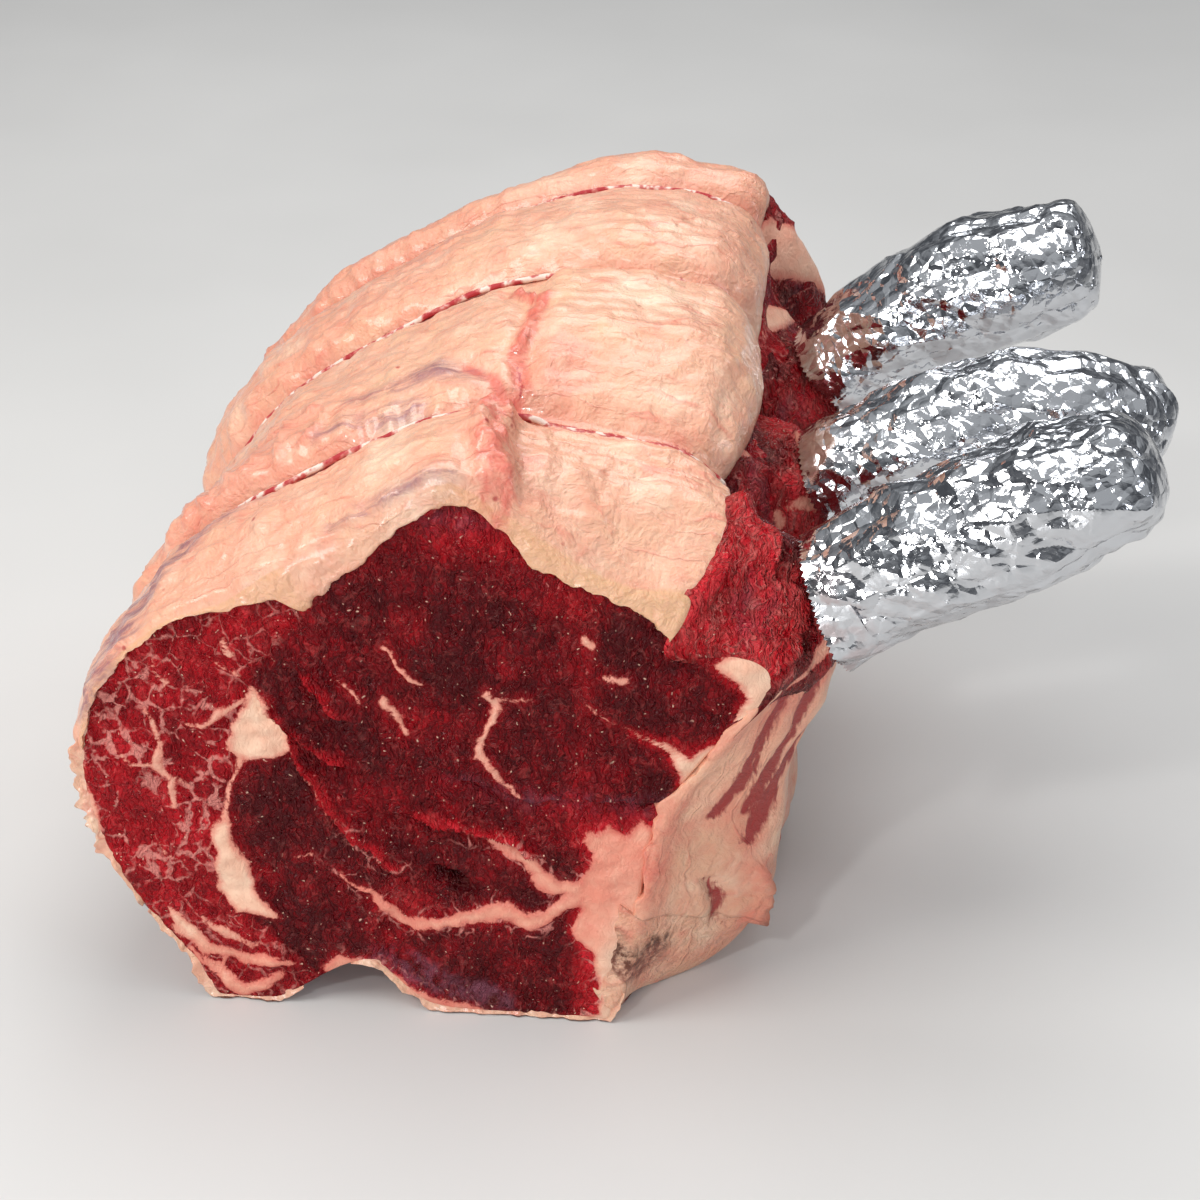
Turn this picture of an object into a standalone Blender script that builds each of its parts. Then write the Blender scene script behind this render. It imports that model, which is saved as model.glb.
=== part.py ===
"""Raw beef rib roast with three foil-wrapped rib ends, tied with twine.

The roast is a loft along the spine (Y). Each station is a closed outline in XZ, read as a
radius about one axis line, so that the lean, the fat cap and the bone side share the same
columns and lie on each other. Sizes are in millimetres and are turned to metres at the end.
+X points to the rib ends, -Y to the cut front face, +Z up.
"""

import math

import bmesh
import bpy
import numpy as np

MM = 0.001

# Driving dimensions
FRONT_Y, BACK_Y = -108.0, 79.0  # stations of the two cut ends
FACE_LEAN = 0.15  # the front face leans back by this much for each mm of height
UPRIGHT_Y = -54.0  # the rings stand upright from here on
AXIS = np.array([4.5, 72.0])  # x, z of the line that all radii are measured from
GAP = 0.35  # clearance between pieces that touch
LAYER_EDGE = 2.7  # least thickness of a layer

# Twine
TIE_Y = (-54.0, 7.0, 59.0)
TWINE_RADIUS = 0.9
GROOVE_DEPTH = 3.2
GROOVE_WIDTH = 9.0
GROOVE_FLAT = 2.0  # half width of the groove's bottom
BULGE = 2.4  # how far the meat swells between two ties

# Layers over the lean, as angles about the axis in degrees, by station
FAT_RIGHT = {-108: 38, -79: 42, -54: 43, 7: 41, 59: 46, 79: 51}
FAT_LEFT = {-108: 178, -54: 188, 79: 200}
BONE_LOW = {-108: -58, -79: -52, 79: -50}
BONE_HIGH = {-108: 18, -79: 16, 79: 18}
FAT_THICKNESS = {38: 11, 60: 10, 78: 5.5, 92: 3.5, 104: 7, 117: 10, 130: 5.5, 150: 4, 182: 3}
BONE_THICKNESS = {-58: 11, -30: 14, 0: 14, 18: 12}

# Fat seam between the lip and the eye: bow to the left and thickness by share of its height
SEAM_BOW = {0.0: 0, 0.2: 7, 0.4: 13, 0.6: 22, 0.8: 24, 0.92: 17, 1.0: 0}
SEAM_THICKNESS = {0.0: 2.0, 0.1: 2.4, 0.28: 8.0, 0.42: 2.4, 0.55: 3.0, 0.72: 7.5, 0.92: 3.0, 1.0: 2.0}

# Stations: outlines in x, z, counter-clockwise from the right side
OUTLINES = {
    -108: [(67, 72), (79, 90), (89, 105), (66, 117), (68, 127), (52, 129), (33, 139), (18, 148),
           (4, 154), (-6, 147), (-21, 136), (-38, 128), (-51, 119), (-68, 111), (-86, 93),
           (-91, 77), (-86, 42), (-67, 13), (-52, -3), (-27, 11), (0, 1), (27, -5), (45, -2),
           (54, 20), (59, 45)],
    -79: [(91, 72), (97, 88), (96, 104), (79, 115), (76, 135), (67, 142), (50, 145), (29, 149),
          (7, 156), (-13, 149), (-30, 139), (-52, 128), (-72, 112), (-88, 90), (-93, 76),
          (-88, 42), (-68, 13), (-52, -4), (-28, 11), (2, 1), (36, -5), (65, -2), (83, 18),
          (87, 45)],
    -54: [(91, 72), (93, 90), (89, 103), (78, 112), (76, 128), (72, 141), (63, 149), (50, 152),
          (28, 154), (13, 158), (0, 156), (-21, 149), (-39, 139), (-57, 128), (-70, 117),
          (-84, 98), (-92, 76), (-87, 42), (-70, 13), (-52, -4), (-28, 10), (2, 1), (40, -5),
          (76, -3), (92, 18), (88, 45)],
    -24: [(92, 72), (94, 92), (90, 104), (80, 113), (76, 129), (74, 145), (66, 158), (53, 162),
          (32, 163), (15, 163), (-4, 157), (-27, 147), (-46, 135), (-64, 114), (-74, 97), (-80, 75),
          (-79, 40), (-67, 12), (-52, -4), (-28, 9), (2, 1), (40, -5), (76, -3), (92, 18), (89, 45)],
    28: [(94, 72), (95, 94), (93, 110), (82, 122), (77, 138), (76, 155), (67, 167), (56, 171),
         (36, 171), (16, 167), (-10, 158), (-35, 145), (-54, 132), (-73, 113), (-83, 93), (-84, 70),
         (-81, 40), (-68, 12), (-52, -4), (-28, 9), (2, 1), (40, -5), (76, -3), (92, 18), (90, 45)],
    79: [(94, 72), (99, 95), (98, 124), (87, 148), (74, 166), (56, 170), (36, 171), (11, 163),
         (-18, 150), (-43, 134), (-67, 111), (-81, 88), (-85, 59), (-79, 31), (-63, 7),
         (-47, -3), (-25, 7), (2, 1), (40, -5), (74, -3), (89, 16), (91, 43)],
}

# Rib ends: station, and the bent line of the foil from its mouth to its tip, in x, z
RIBS = (
    {"y": -79.0, "base": (98, 123), "bend": (132, 145), "tip": (172, 164), "turn": 0.0, "girth": 1.0},
    {"y": -24.0, "base": (98, 122), "bend": (142, 153), "tip": (185, 137), "turn": 2.0, "girth": 0.97},
    {"y": 36.0, "base": (100, 124), "bend": (133, 154), "tip": (172, 163), "turn": 3.0, "girth": 1.04},
)
# Foil radius in mm by share of the length
FOIL_PROFILE = {0.0: 17.0, 0.2: 18.5, 0.5: 19.5, 0.72: 19.5, 0.86: 17.5, 0.95: 12.5}
FOIL_FLATTEN = 0.9  # a little thinner across the rib's flat side
NECK_REACH = 105.0  # radius at which a rib's stump meets its foil
NECK_ANGLE = 28.0
NECK_HALF_ANGLE = 12.0
NECK_HALF_WIDTH = 15.0

# Mesh density
STATION_STEP = 13.0
FAT_STEPS, UNDER_STEPS, CHINE_STEPS, BONE_STEPS, FLANK_STEPS = 18, 11, 3, 8, 5
SEAM_TOP = 12  # column of the lean's outline where the seam starts, and the one where it ends
SEAM_FOOT = FAT_STEPS + 1 + 6
SEAM_STEPS = 9
FOIL_SIDES = 18


def clear_scene():
    for obj in list(bpy.data.objects):
        bpy.data.objects.remove(obj)


def make_material(name, colour, roughness, metallic=0.0):
    material = bpy.data.materials.new(name)
    material.use_nodes = True
    shader = material.node_tree.nodes["Principled BSDF"]
    shader.inputs["Base Color"].default_value = (*colour, 1.0)
    shader.inputs["Roughness"].default_value = roughness
    shader.inputs["Metallic"].default_value = metallic
    return material


def along(table, value):
    """Straight interpolation in a small table."""
    keys = sorted(table)
    return np.interp(value, keys, [table[key] for key in keys])


def stations():
    """Even steps along the spine, with extra rings across each groove."""
    steps = round((BACK_Y - FRONT_Y) / STATION_STEP)
    even = np.linspace(FRONT_Y, BACK_Y, steps + 1)
    close = [tie + aside for tie in TIE_Y for aside in (-6, -GROOVE_FLAT, 0, GROOVE_FLAT, 6)]
    kept = [y for y in even if min(abs(y - other) for other in close) > 4]
    return sorted(kept + close)


def hermite(x, x0, x1, v0, v1, m0, m1):
    """One span of a cubic, from v0 with slope m0 to v1 with slope m1."""
    width = x1 - x0
    t = (x - x0) / width
    rise = (2 * t**3 - 3 * t**2 + 1) * v0 + (3 * t**2 - 2 * t**3) * v1
    return rise + (t**3 - 2 * t**2 + t) * width * m0 + (t**3 - t**2) * width * m1


def outline_radius(points, theta):
    """Radius of a closed outline about the axis at the angles theta, in radians."""
    offsets = np.array(points, float) - AXIS
    angles = np.unwrap(np.arctan2(offsets[:, 1], offsets[:, 0]))
    radii = np.hypot(offsets[:, 0], offsets[:, 1])
    turn = 2 * math.pi
    angles = np.concatenate([angles - turn, angles, angles + turn])
    radii = np.tile(radii, 3)
    slopes = np.gradient(radii, angles)
    theta = (np.asarray(theta) + math.pi) % turn - math.pi
    span = np.clip(np.searchsorted(angles, theta) - 1, 0, len(angles) - 2)
    return hermite(theta, angles[span], angles[span + 1], radii[span], radii[span + 1],
                   slopes[span], slopes[span + 1])


def station_radius(station, theta):
    """The outlines blended along the spine."""
    keys = sorted(OUTLINES)
    span = min(max(np.searchsorted(keys, station) - 1, 0), len(keys) - 2)
    low, high = keys[span], keys[span + 1]
    share = (station - low) / (high - low)
    share = share * share * (3 - 2 * share)
    first, second = (outline_radius(OUTLINES[key], theta) for key in (low, high))
    return first + (second - first) * share


def tie_share(station):
    """1 in the bottom of a twine groove, falling to 0 beside it."""
    aside = min(abs(station - y) for y in TIE_Y)
    away = max(aside - GROOVE_FLAT, 0.0) / GROOVE_WIDTH
    return math.exp(-4 * away * away)


def swell(station):
    """How far the meat stands out between the ties."""
    stops = (FRONT_Y, *TIE_Y, BACK_Y)
    for low, high in zip(stops, stops[1:]):
        if low <= station <= high:
            return BULGE * math.sin(math.pi * (station - low) / (high - low))
    return 0.0


def neck_share(station, theta):
    """1 on the stump of a rib, which reaches out to its foil."""
    turned = ((np.degrees(theta) % 360 - NECK_ANGLE) / NECK_HALF_ANGLE) ** 4
    beside = min(((station - rib["y"]) / NECK_HALF_WIDTH) ** 4 for rib in RIBS)
    return np.exp(-beside - turned)


def rest_height(station):
    """The underside stands on z = 0, and clears the twine where a tie runs below it."""
    return (2 * TWINE_RADIUS + 3 * GAP) * tie_share(station)


def skin_radius(station, theta):
    """The roast's outer surface: outline, swell, grooves, rib stumps and flat underside."""
    radius = station_radius(station, theta) + swell(station)
    radius = radius - GROOVE_DEPTH * tie_share(station)
    radius = radius + np.maximum(NECK_REACH - radius, 0.0) * neck_share(station, theta)
    down = np.maximum(-np.sin(theta), 0.01)
    return np.minimum(radius, (AXIS[1] - rest_height(station)) / down)


def section(theta, radius):
    """Points x, z on a ring."""
    return AXIS + np.stack([radius * np.cos(theta), radius * np.sin(theta)], axis=1)


def stand(station, flat):
    """A section set at its station, leaning back with the front face."""
    upright = min(max((station - FRONT_Y) / (UPRIGHT_Y - FRONT_Y), 0.0), 1.0)
    y = station + FACE_LEAN * (1 - upright) * flat[:, 1]
    return np.stack([flat[:, 0], y, flat[:, 1]], axis=1)


def columns(station):
    """Angles of the columns under the fat, on the underside, under the bone and on the flank."""
    right, left = along(FAT_RIGHT, station), along(FAT_LEFT, station)
    low, high = along(BONE_LOW, station) + 360, along(BONE_HIGH, station) + 360
    spans = (
        (right, left, FAT_STEPS),
        (left, low, UNDER_STEPS),
        (low, high, CHINE_STEPS + BONE_STEPS),
        (high, right + 360, FLANK_STEPS),
    )
    return [np.radians(np.linspace(start, end, steps + 1)) for start, end, steps in spans]


def thickness(table, theta):
    degrees = (np.degrees(theta) + 90) % 360 - 90
    return np.maximum(along(table, degrees), LAYER_EDGE)


def layer_ring(station, theta, table):
    """A layer's closed section: its outer arc, then its inner arc back again."""
    outer = skin_radius(station, theta)
    inner = outer - thickness(table, theta)
    ring = [section(theta, outer), section(theta, inner)[::-1]]
    return stand(station, np.concatenate(ring))


def lean_section(station):
    """The lean's outline: skin where it is bare, and set back under the layers."""
    slack = GAP / 70.0  # the gap as an angle, at the shortest radius
    outline = []
    for theta, table in zip(columns(station), (FAT_THICKNESS, None, BONE_THICKNESS, None)):
        inset = 3 * slack if table is None else -2 * slack
        theta[0] += inset
        theta[-1] -= inset
        radius = skin_radius(station, theta)
        if table is not None:
            radius -= thickness(table, theta) + GAP
            radius[[0, -1]] -= GAP
        outline.append(section(theta, radius))
    return np.concatenate(outline)


def seam_line(outline, side, margin=0.0):
    """One side of the seam, from its top to its foot: side is -1 for the left, 1 for the right."""
    share = np.linspace(0, 1, SEAM_STEPS + 1)[1:-1]
    top, foot = outline[SEAM_TOP], outline[SEAM_FOOT]
    line = top + (foot - top) * share[:, None]
    line[:, 0] -= along(SEAM_BOW, share)
    slope = np.gradient(line, axis=0)
    slope /= np.linalg.norm(slope, axis=1)[:, None]
    across = np.stack([-slope[:, 1], slope[:, 0]], axis=1)
    return line + across * (side * (along(SEAM_THICKNESS, share) / 2 + margin))[:, None]


def beside_seam(outline, index, step):
    """A point a little way along the outline from the seam's end."""
    start, end = outline[index], outline[index + step]
    reach = (SEAM_THICKNESS[0.0] / 2 + 2 * GAP) / np.linalg.norm(end - start)
    return (start + (end - start) * reach)[None]


def loft(name, rings, material, parent, back_from=None, tip=None):
    """Closed rings of equal length, joined one to the next and closed at both ends.

    The quads are split the same way on the two sides of a gap, so that they can't cross it.
    From the point back_from on, a ring runs back over its own angles.
    """
    mesh = bmesh.new()
    loops = [[mesh.verts.new(point * MM) for point in ring] for ring in rings]
    count = len(loops[0])
    for first, second in zip(loops, loops[1:]):
        for i in range(count):
            j = (i + 1) % count
            if back_from is not None and i >= back_from:
                mesh.faces.new((first[i], first[j], second[i]))
                mesh.faces.new((first[j], second[j], second[i]))
            else:
                mesh.faces.new((first[i], first[j], second[j]))
                mesh.faces.new((first[i], second[j], second[i]))
    mesh.faces.new(loops[0][::-1])
    if tip is None:
        mesh.faces.new(loops[-1])
    else:
        end = mesh.verts.new(tip * MM)
        for i in range(count):
            mesh.faces.new((loops[-1][i], loops[-1][(i + 1) % count], end))
    bmesh.ops.recalc_face_normals(mesh, faces=mesh.faces)
    data = bpy.data.meshes.new(name)
    mesh.to_mesh(data)
    mesh.free()
    data.shade_smooth()
    data.set_sharp_from_angle(angle=math.radians(40))
    data.materials.append(material)
    obj = bpy.data.objects.new(name, data)
    bpy.context.scene.collection.objects.link(obj)
    obj.parent = parent
    return obj


def make_lean(material, seam_material, parent):
    """The eye on the right, the lip on the left and the fat seam between them."""
    eye, lip, seam = [], [], []
    for station in stations():
        outline = lean_section(station)
        left = [
            beside_seam(outline, SEAM_TOP, 1),
            outline[SEAM_TOP + 1 : SEAM_FOOT],
            beside_seam(outline, SEAM_FOOT, -1),
            seam_line(outline, -1, GAP)[::-1],
        ]
        right = [
            beside_seam(outline, SEAM_FOOT, 1),
            outline[SEAM_FOOT + 1 :],
            outline[:SEAM_TOP],
            beside_seam(outline, SEAM_TOP, -1),
            seam_line(outline, 1, GAP),
        ]
        between = [seam_line(outline, -1), seam_line(outline, 1)[::-1]]
        for rings, pieces in ((lip, left), (eye, right), (seam, between)):
            rings.append(stand(station, np.concatenate(pieces)))
    return [
        loft("eye_muscle", eye, material, parent),
        loft("lip_muscle", lip, material, parent, back_from=SEAM_FOOT - SEAM_TOP + 1),
        loft("seam_fat", seam, seam_material, parent, back_from=SEAM_STEPS - 1),
    ]


def make_fat_cap(material, parent):
    """The fat that covers the top and the left side."""
    rings = [layer_ring(y, columns(y)[0], FAT_THICKNESS) for y in stations()]
    return loft("fat_cap", rings, material, parent, back_from=FAT_STEPS)


def make_bone_side(material, chine_material, parent):
    """The rib slab on the right, bones under fat and membrane, and the chine at its foot."""
    slab, chine = [], []
    for station in stations():
        theta = columns(station)[2]
        slab.append(layer_ring(station, theta[CHINE_STEPS:], BONE_THICKNESS))
        theta[CHINE_STEPS] -= 2 * GAP / 90.0
        chine.append(layer_ring(station, theta[: CHINE_STEPS + 1], BONE_THICKNESS))
    return [
        loft("bone_side", slab, material, parent, back_from=BONE_STEPS),
        loft("chine_bone", chine, chine_material, parent, back_from=CHINE_STEPS),
    ]


def make_foil_wrap(index, rib, material, parent):
    """A foil-wrapped rib end: a blunt bullet along a bent line."""
    base, bend, tip = (np.array(rib[key], float) for key in ("base", "bend", "tip"))
    rings = []
    around = np.linspace(0, 2 * math.pi, FOIL_SIDES, endpoint=False)
    for share, radius in sorted(FOIL_PROFILE.items()):
        radius = radius * rib["girth"]
        centre = (1 - share) ** 2 * base + 2 * share * (1 - share) * bend + share**2 * tip
        slope = (1 - share) * (bend - base) + share * (tip - bend)
        slope /= np.hypot(*slope)
        lift = radius * FOIL_FLATTEN * np.sin(around)
        x = centre[0] - slope[1] * lift
        y = rib["y"] + rib["turn"] * share + radius * np.cos(around)
        rings.append(np.stack([x, y, centre[1] + slope[0] * lift], axis=1))
    end = np.array([tip[0], rib["y"] + rib["turn"], tip[1]])
    return loft(f"foil_wrap_{index}", rings, material, parent, tip=end)


def taut_line(points):
    """The line that a loop pulled tight takes round a section, counter-clockwise."""
    ordered = sorted(map(tuple, points))
    outline = []
    for run in (ordered, ordered[::-1]):
        chain = []
        for point in run:
            while len(chain) > 1:
                (ax, az), (bx, bz) = chain[-2], chain[-1]
                if (bx - ax) * (point[1] - az) - (bz - az) * (point[0] - ax) > 0:
                    break
                chain.pop()
            chain.append(point)
        outline += chain[:-1]
    return np.array(outline)


def make_tie(index, station, material, parent):
    """A taut loop of twine in its groove, right round the roast."""
    theta = np.concatenate([span[:-1] for span in columns(station)])
    line = taut_line(section(theta, skin_radius(station, theta)))
    before, after = line - np.roll(line, 1, axis=0), np.roll(line, -1, axis=0) - line
    before /= np.linalg.norm(before, axis=1)[:, None]
    after /= np.linalg.norm(after, axis=1)[:, None]
    outward = np.stack([before[:, 1] + after[:, 1], -before[:, 0] - after[:, 0]], axis=1)
    outward /= (1 + (before * after).sum(axis=1))[:, None]
    line = line + outward * (TWINE_RADIUS + 2 * GAP)
    curve = bpy.data.curves.new(f"tie_{index}", "CURVE")
    curve.dimensions = "3D"
    curve.bevel_depth = TWINE_RADIUS * MM
    curve.bevel_resolution = 1
    spline = curve.splines.new("POLY")
    spline.points.add(len(line) - 1)
    for point, (x, z) in zip(spline.points, line):
        point.co = (x * MM, station * MM, z * MM, 1.0)
    spline.use_cyclic_u = True
    curve.materials.append(material)
    obj = bpy.data.objects.new(f"tie_{index}", curve)
    bpy.context.scene.collection.objects.link(obj)
    obj.parent = parent
    return obj


def centre_on_origin(parent, objects):
    """Moves the whole part so that its box stands on the origin."""
    solids = [obj for obj in objects if obj.type == "MESH"]
    corners = np.array([vertex.co for obj in solids for vertex in obj.data.vertices])
    low, high = corners.min(axis=0), corners.max(axis=0)
    middle = (low + high) / 2
    parent.location = (-middle[0], -middle[1], -low[2])


def main():
    clear_scene()
    roast = bpy.data.objects.new("roast", None)
    bpy.context.scene.collection.objects.link(roast)
    lean = make_material("raw_beef_lean", (0.25, 0.012, 0.016), 0.35)
    seam = make_material("seam_fat", (0.80, 0.52, 0.40), 0.4)
    fat = make_material("beef_fat", (0.83, 0.58, 0.40), 0.45)
    side = make_material("membrane_and_fat", (0.76, 0.40, 0.29), 0.4)
    bone = make_material("cut_bone", (0.42, 0.24, 0.12), 0.5)
    foil = make_material("aluminium_foil", (0.91, 0.91, 0.92), 0.15, metallic=1.0)
    twine = make_material("cotton_twine", (0.62, 0.22, 0.20), 0.8)
    made = make_lean(lean, seam, roast)
    made.append(make_fat_cap(fat, roast))
    made += make_bone_side(side, bone, roast)
    made += [make_foil_wrap(i, rib, foil, roast) for i, rib in enumerate(RIBS, 1)]
    made += [make_tie(i, y, twine, roast) for i, y in enumerate(TIE_Y, 1)]
    centre_on_origin(roast, made)


main()
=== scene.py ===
import math

import bpy
import numpy as np
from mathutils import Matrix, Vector


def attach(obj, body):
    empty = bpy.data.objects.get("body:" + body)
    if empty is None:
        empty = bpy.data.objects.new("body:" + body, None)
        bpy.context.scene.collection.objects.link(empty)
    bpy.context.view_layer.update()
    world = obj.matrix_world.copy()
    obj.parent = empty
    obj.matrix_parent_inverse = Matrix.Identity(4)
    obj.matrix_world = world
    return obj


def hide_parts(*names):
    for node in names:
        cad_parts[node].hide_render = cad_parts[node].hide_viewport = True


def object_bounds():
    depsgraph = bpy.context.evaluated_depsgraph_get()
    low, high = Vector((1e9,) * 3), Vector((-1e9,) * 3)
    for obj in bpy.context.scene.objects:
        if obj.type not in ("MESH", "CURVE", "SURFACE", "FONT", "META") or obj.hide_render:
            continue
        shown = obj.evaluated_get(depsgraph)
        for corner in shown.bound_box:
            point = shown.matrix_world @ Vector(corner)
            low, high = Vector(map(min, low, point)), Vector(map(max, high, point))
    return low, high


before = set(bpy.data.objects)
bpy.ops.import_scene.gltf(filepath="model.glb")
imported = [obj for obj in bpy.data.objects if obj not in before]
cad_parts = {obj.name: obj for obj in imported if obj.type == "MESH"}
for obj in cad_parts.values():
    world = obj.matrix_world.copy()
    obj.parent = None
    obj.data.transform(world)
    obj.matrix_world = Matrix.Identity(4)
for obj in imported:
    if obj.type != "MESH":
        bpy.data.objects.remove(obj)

mm = 0.001
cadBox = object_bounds()

# Everything below is laid out in the roast's own millimetres: x to the rib ends, y to the back,
# z up from the board, with the foot of the cut face at y = -108. One shift takes it to the frame.
roast = {
    "farTip": 185.0,        # x of the middle foil's tip, which is the box's right side
    "front": -108.0,
    "back": 79.0,
    "faceLean": 0.15,       # how much the cut face leans back for each mm of height
    "uprightFrom": -54.0,
    "axis": (4.5, 72.0),    # x, z of the line that radii are measured from
    "ties": (-54.0, 7.0, 59.0),
    "tieRadius": 0.9,
    "grooveDepth": 3.2,
    "grooveWidth": 9.0,
    "grooveFlat": 2.0,
    "bulge": 2.4,           # swell between two ties
}
roastShift = np.array([cadBox[1].x / mm - roast["farTip"], cadBox[1].y / mm - roast["back"], 0.0])

# outer outlines in x, z at six stations along the spine
outlines = {
    -108: [(67, 72), (79, 90), (89, 105), (66, 117), (68, 127), (52, 129), (33, 139), (18, 148),
           (4, 154), (-6, 147), (-21, 136), (-38, 128), (-51, 119), (-68, 111), (-86, 93),
           (-91, 77), (-86, 42), (-67, 13), (-52, -3), (-27, 11), (0, 1), (27, -5), (45, -2),
           (54, 20), (59, 45)],
    -79: [(91, 72), (97, 88), (96, 104), (79, 115), (76, 135), (67, 142), (50, 145), (29, 149),
          (7, 156), (-13, 149), (-30, 139), (-52, 128), (-72, 112), (-88, 90), (-93, 76),
          (-88, 42), (-68, 13), (-52, -4), (-28, 11), (2, 1), (36, -5), (65, -2), (83, 18),
          (87, 45)],
    -54: [(91, 72), (93, 90), (89, 103), (78, 112), (76, 128), (72, 141), (63, 149), (50, 152),
          (28, 154), (13, 158), (0, 156), (-21, 149), (-39, 139), (-57, 128), (-70, 117),
          (-84, 98), (-92, 76), (-87, 42), (-70, 13), (-52, -4), (-28, 10), (2, 1), (40, -5),
          (76, -3), (92, 18), (88, 45)],
    -24: [(92, 72), (94, 92), (90, 104), (80, 113), (76, 129), (74, 145), (66, 158), (53, 162),
          (32, 163), (15, 163), (-4, 157), (-27, 147), (-46, 135), (-64, 114), (-74, 97), (-80, 75),
          (-79, 40), (-67, 12), (-52, -4), (-28, 9), (2, 1), (40, -5), (76, -3), (92, 18), (89, 45)],
    28: [(94, 72), (95, 94), (93, 110), (82, 122), (77, 138), (76, 155), (67, 167), (56, 171),
         (36, 171), (16, 167), (-10, 158), (-35, 145), (-54, 132), (-73, 113), (-83, 93), (-84, 70),
         (-81, 40), (-68, 12), (-52, -4), (-28, 9), (2, 1), (40, -5), (76, -3), (92, 18), (90, 45)],
    79: [(94, 72), (99, 95), (98, 124), (87, 148), (74, 166), (56, 170), (36, 171), (11, 163),
         (-18, 150), (-43, 134), (-67, 111), (-81, 88), (-85, 59), (-79, 31), (-63, 7),
         (-47, -3), (-25, 7), (2, 1), (40, -5), (74, -3), (89, 16), (91, 43)],
}
ribs = (
    {"y": -79.0, "base": (98, 123), "bend": (132, 145), "tip": (172, 164), "turn": 0.0, "girth": 1.0},
    {"y": -24.0, "base": (98, 122), "bend": (142, 153), "tip": (185, 137), "turn": 2.0, "girth": 0.97},
    {"y": 36.0, "base": (100, 124), "bend": (133, 154), "tip": (172, 163), "turn": 3.0, "girth": 1.04},
)
neck = {"reach": 105.0, "angle": 28.0, "halfAngle": 12.0, "halfWidth": 15.0}


# numbers and noise

def linear(hexColour):
    """sRGB hex to linear RGBA"""
    parts = [int(hexColour[i:i + 2], 16) / 255 for i in (1, 3, 5)]
    return [p / 12.92 if p <= 0.04045 else ((p + 0.055) / 1.055) ** 2.4 for p in parts] + [1.0]


def along(table, value):
    keys = sorted(table)
    return np.interp(value, keys, [table[key] for key in keys])


def ease(low, high, value):
    t = np.clip((value - low) / (high - low), 0, 1)
    return t * t * (3 - 2 * t)


def latticeHash(cell, seed):
    h = cell[..., 0] * 73856093 ^ cell[..., 1] * 19349663 ^ cell[..., 2] * 83492791 ^ seed * 2654435
    h = (h ^ (h >> 13)) * 1274126177
    return (h ^ (h >> 16)) & 1023


randomTable = np.random.default_rng(11).random((1024, 3))
gradientTable = np.random.default_rng(12).normal(size=(1024, 3))
gradientTable /= np.linalg.norm(gradientTable, axis=1)[:, None]


def noise(points, size, seed=1):
    """Smooth noise, about -1 to 1, with lumps of this size in mm."""
    p = np.asarray(points, float) / size
    base = np.floor(p).astype(np.int64)
    part = p - base
    fade = part ** 3 * (part * (part * 6 - 15) + 10)
    total = np.zeros(p.shape[:-1])
    for corner in np.ndindex(2, 2, 2):
        step = np.array(corner)
        slope = gradientTable[latticeHash(base + step, seed)]
        weight = np.where(step == 1, fade, 1 - fade).prod(axis=-1)
        total += weight * (slope * (part - step)).sum(axis=-1)
    return total * 1.6


def layeredNoise(points, size, octaves=3, seed=1, keep=0.5):
    total = 0.0
    for i in range(octaves):
        total = total + keep ** i * noise(points, size / 2 ** i, seed + 17 * i)
    return total


def ridged(points, size, seed=1):
    """Sharp crests on soft valleys, 0 to 1."""
    return (1 - np.abs(noise(points, size, seed))) ** 3


def nearestSquared(points, size, seed):
    """Squared distance to the nearest scattered point, in cells."""
    p = np.asarray(points, float) / size
    base = np.floor(p).astype(np.int64)
    best = np.full(p.shape[:-1], 9.0)
    for corner in np.ndindex(3, 3, 3):
        cell = base + np.array(corner) - 1
        apart = cell + randomTable[latticeHash(cell, seed)] - p
        best = np.minimum(best, (apart ** 2).sum(axis=-1))
    return best


def crumple(points, size, seed):
    """Flat facets with sharp folds: the difference of two cell patterns is straight in between."""
    return nearestSquared(points, size, seed) - nearestSquared(points, size, seed + 5)


def lineDistance(x, z, points):
    """Distance to a line of (x, z, half width), negative inside it."""
    best = np.full(np.shape(x), 1e3)
    for (ax, az, aw), (bx, bz, bw) in zip(points, points[1:]):
        dx, dz = bx - ax, bz - az
        t = np.clip(((x - ax) * dx + (z - az) * dz) / (dx * dx + dz * dz), 0, 1)
        best = np.minimum(best, np.hypot(x - ax - t * dx, z - az - t * dz) - aw - t * (bw - aw))
    return best


def patchDistance(x, z, points):
    """Distance to a closed patch, negative inside it."""
    best = np.full(np.shape(x), 1e3)
    inside = np.zeros(np.shape(x), bool)
    for (ax, az), (bx, bz) in zip(points, points[1:] + points[:1]):
        dx, dz = bx - ax, bz - az
        t = np.clip(((x - ax) * dx + (z - az) * dz) / (dx * dx + dz * dz), 0, 1)
        best = np.minimum(best, np.hypot(x - ax - t * dx, z - az - t * dz))
        crosses = (az > z) != (bz > z)
        if dz:
            inside ^= crosses & (x < ax + (z - az) * dx / dz)
    return np.where(inside, -best, best)


def lineSide(x, z, points):
    """1 on the left of a line as it is walked, -1 on its right."""
    best = np.full(np.shape(x), 1e3)
    side = np.ones(np.shape(x))
    for (ax, az, _), (bx, bz, _) in zip(points, points[1:]):
        dx, dz = bx - ax, bz - az
        t = np.clip(((x - ax) * dx + (z - az) * dz) / (dx * dx + dz * dz), 0, 1)
        away = np.hypot(x - ax - t * dx, z - az - t * dz)
        turn = np.sign(dx * (z - az) - dz * (x - ax))
        side = np.where(away < best, turn, side)
        best = np.minimum(best, away)
    return side


# the roast's outer shape, the same as the CAD's

def hermite(x, x0, x1, v0, v1, m0, m1):
    width = x1 - x0
    t = (x - x0) / width
    rise = (2 * t**3 - 3 * t**2 + 1) * v0 + (3 * t**2 - 2 * t**3) * v1
    return rise + (t**3 - 2 * t**2 + t) * width * m0 + (t**3 - t**2) * width * m1


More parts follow.
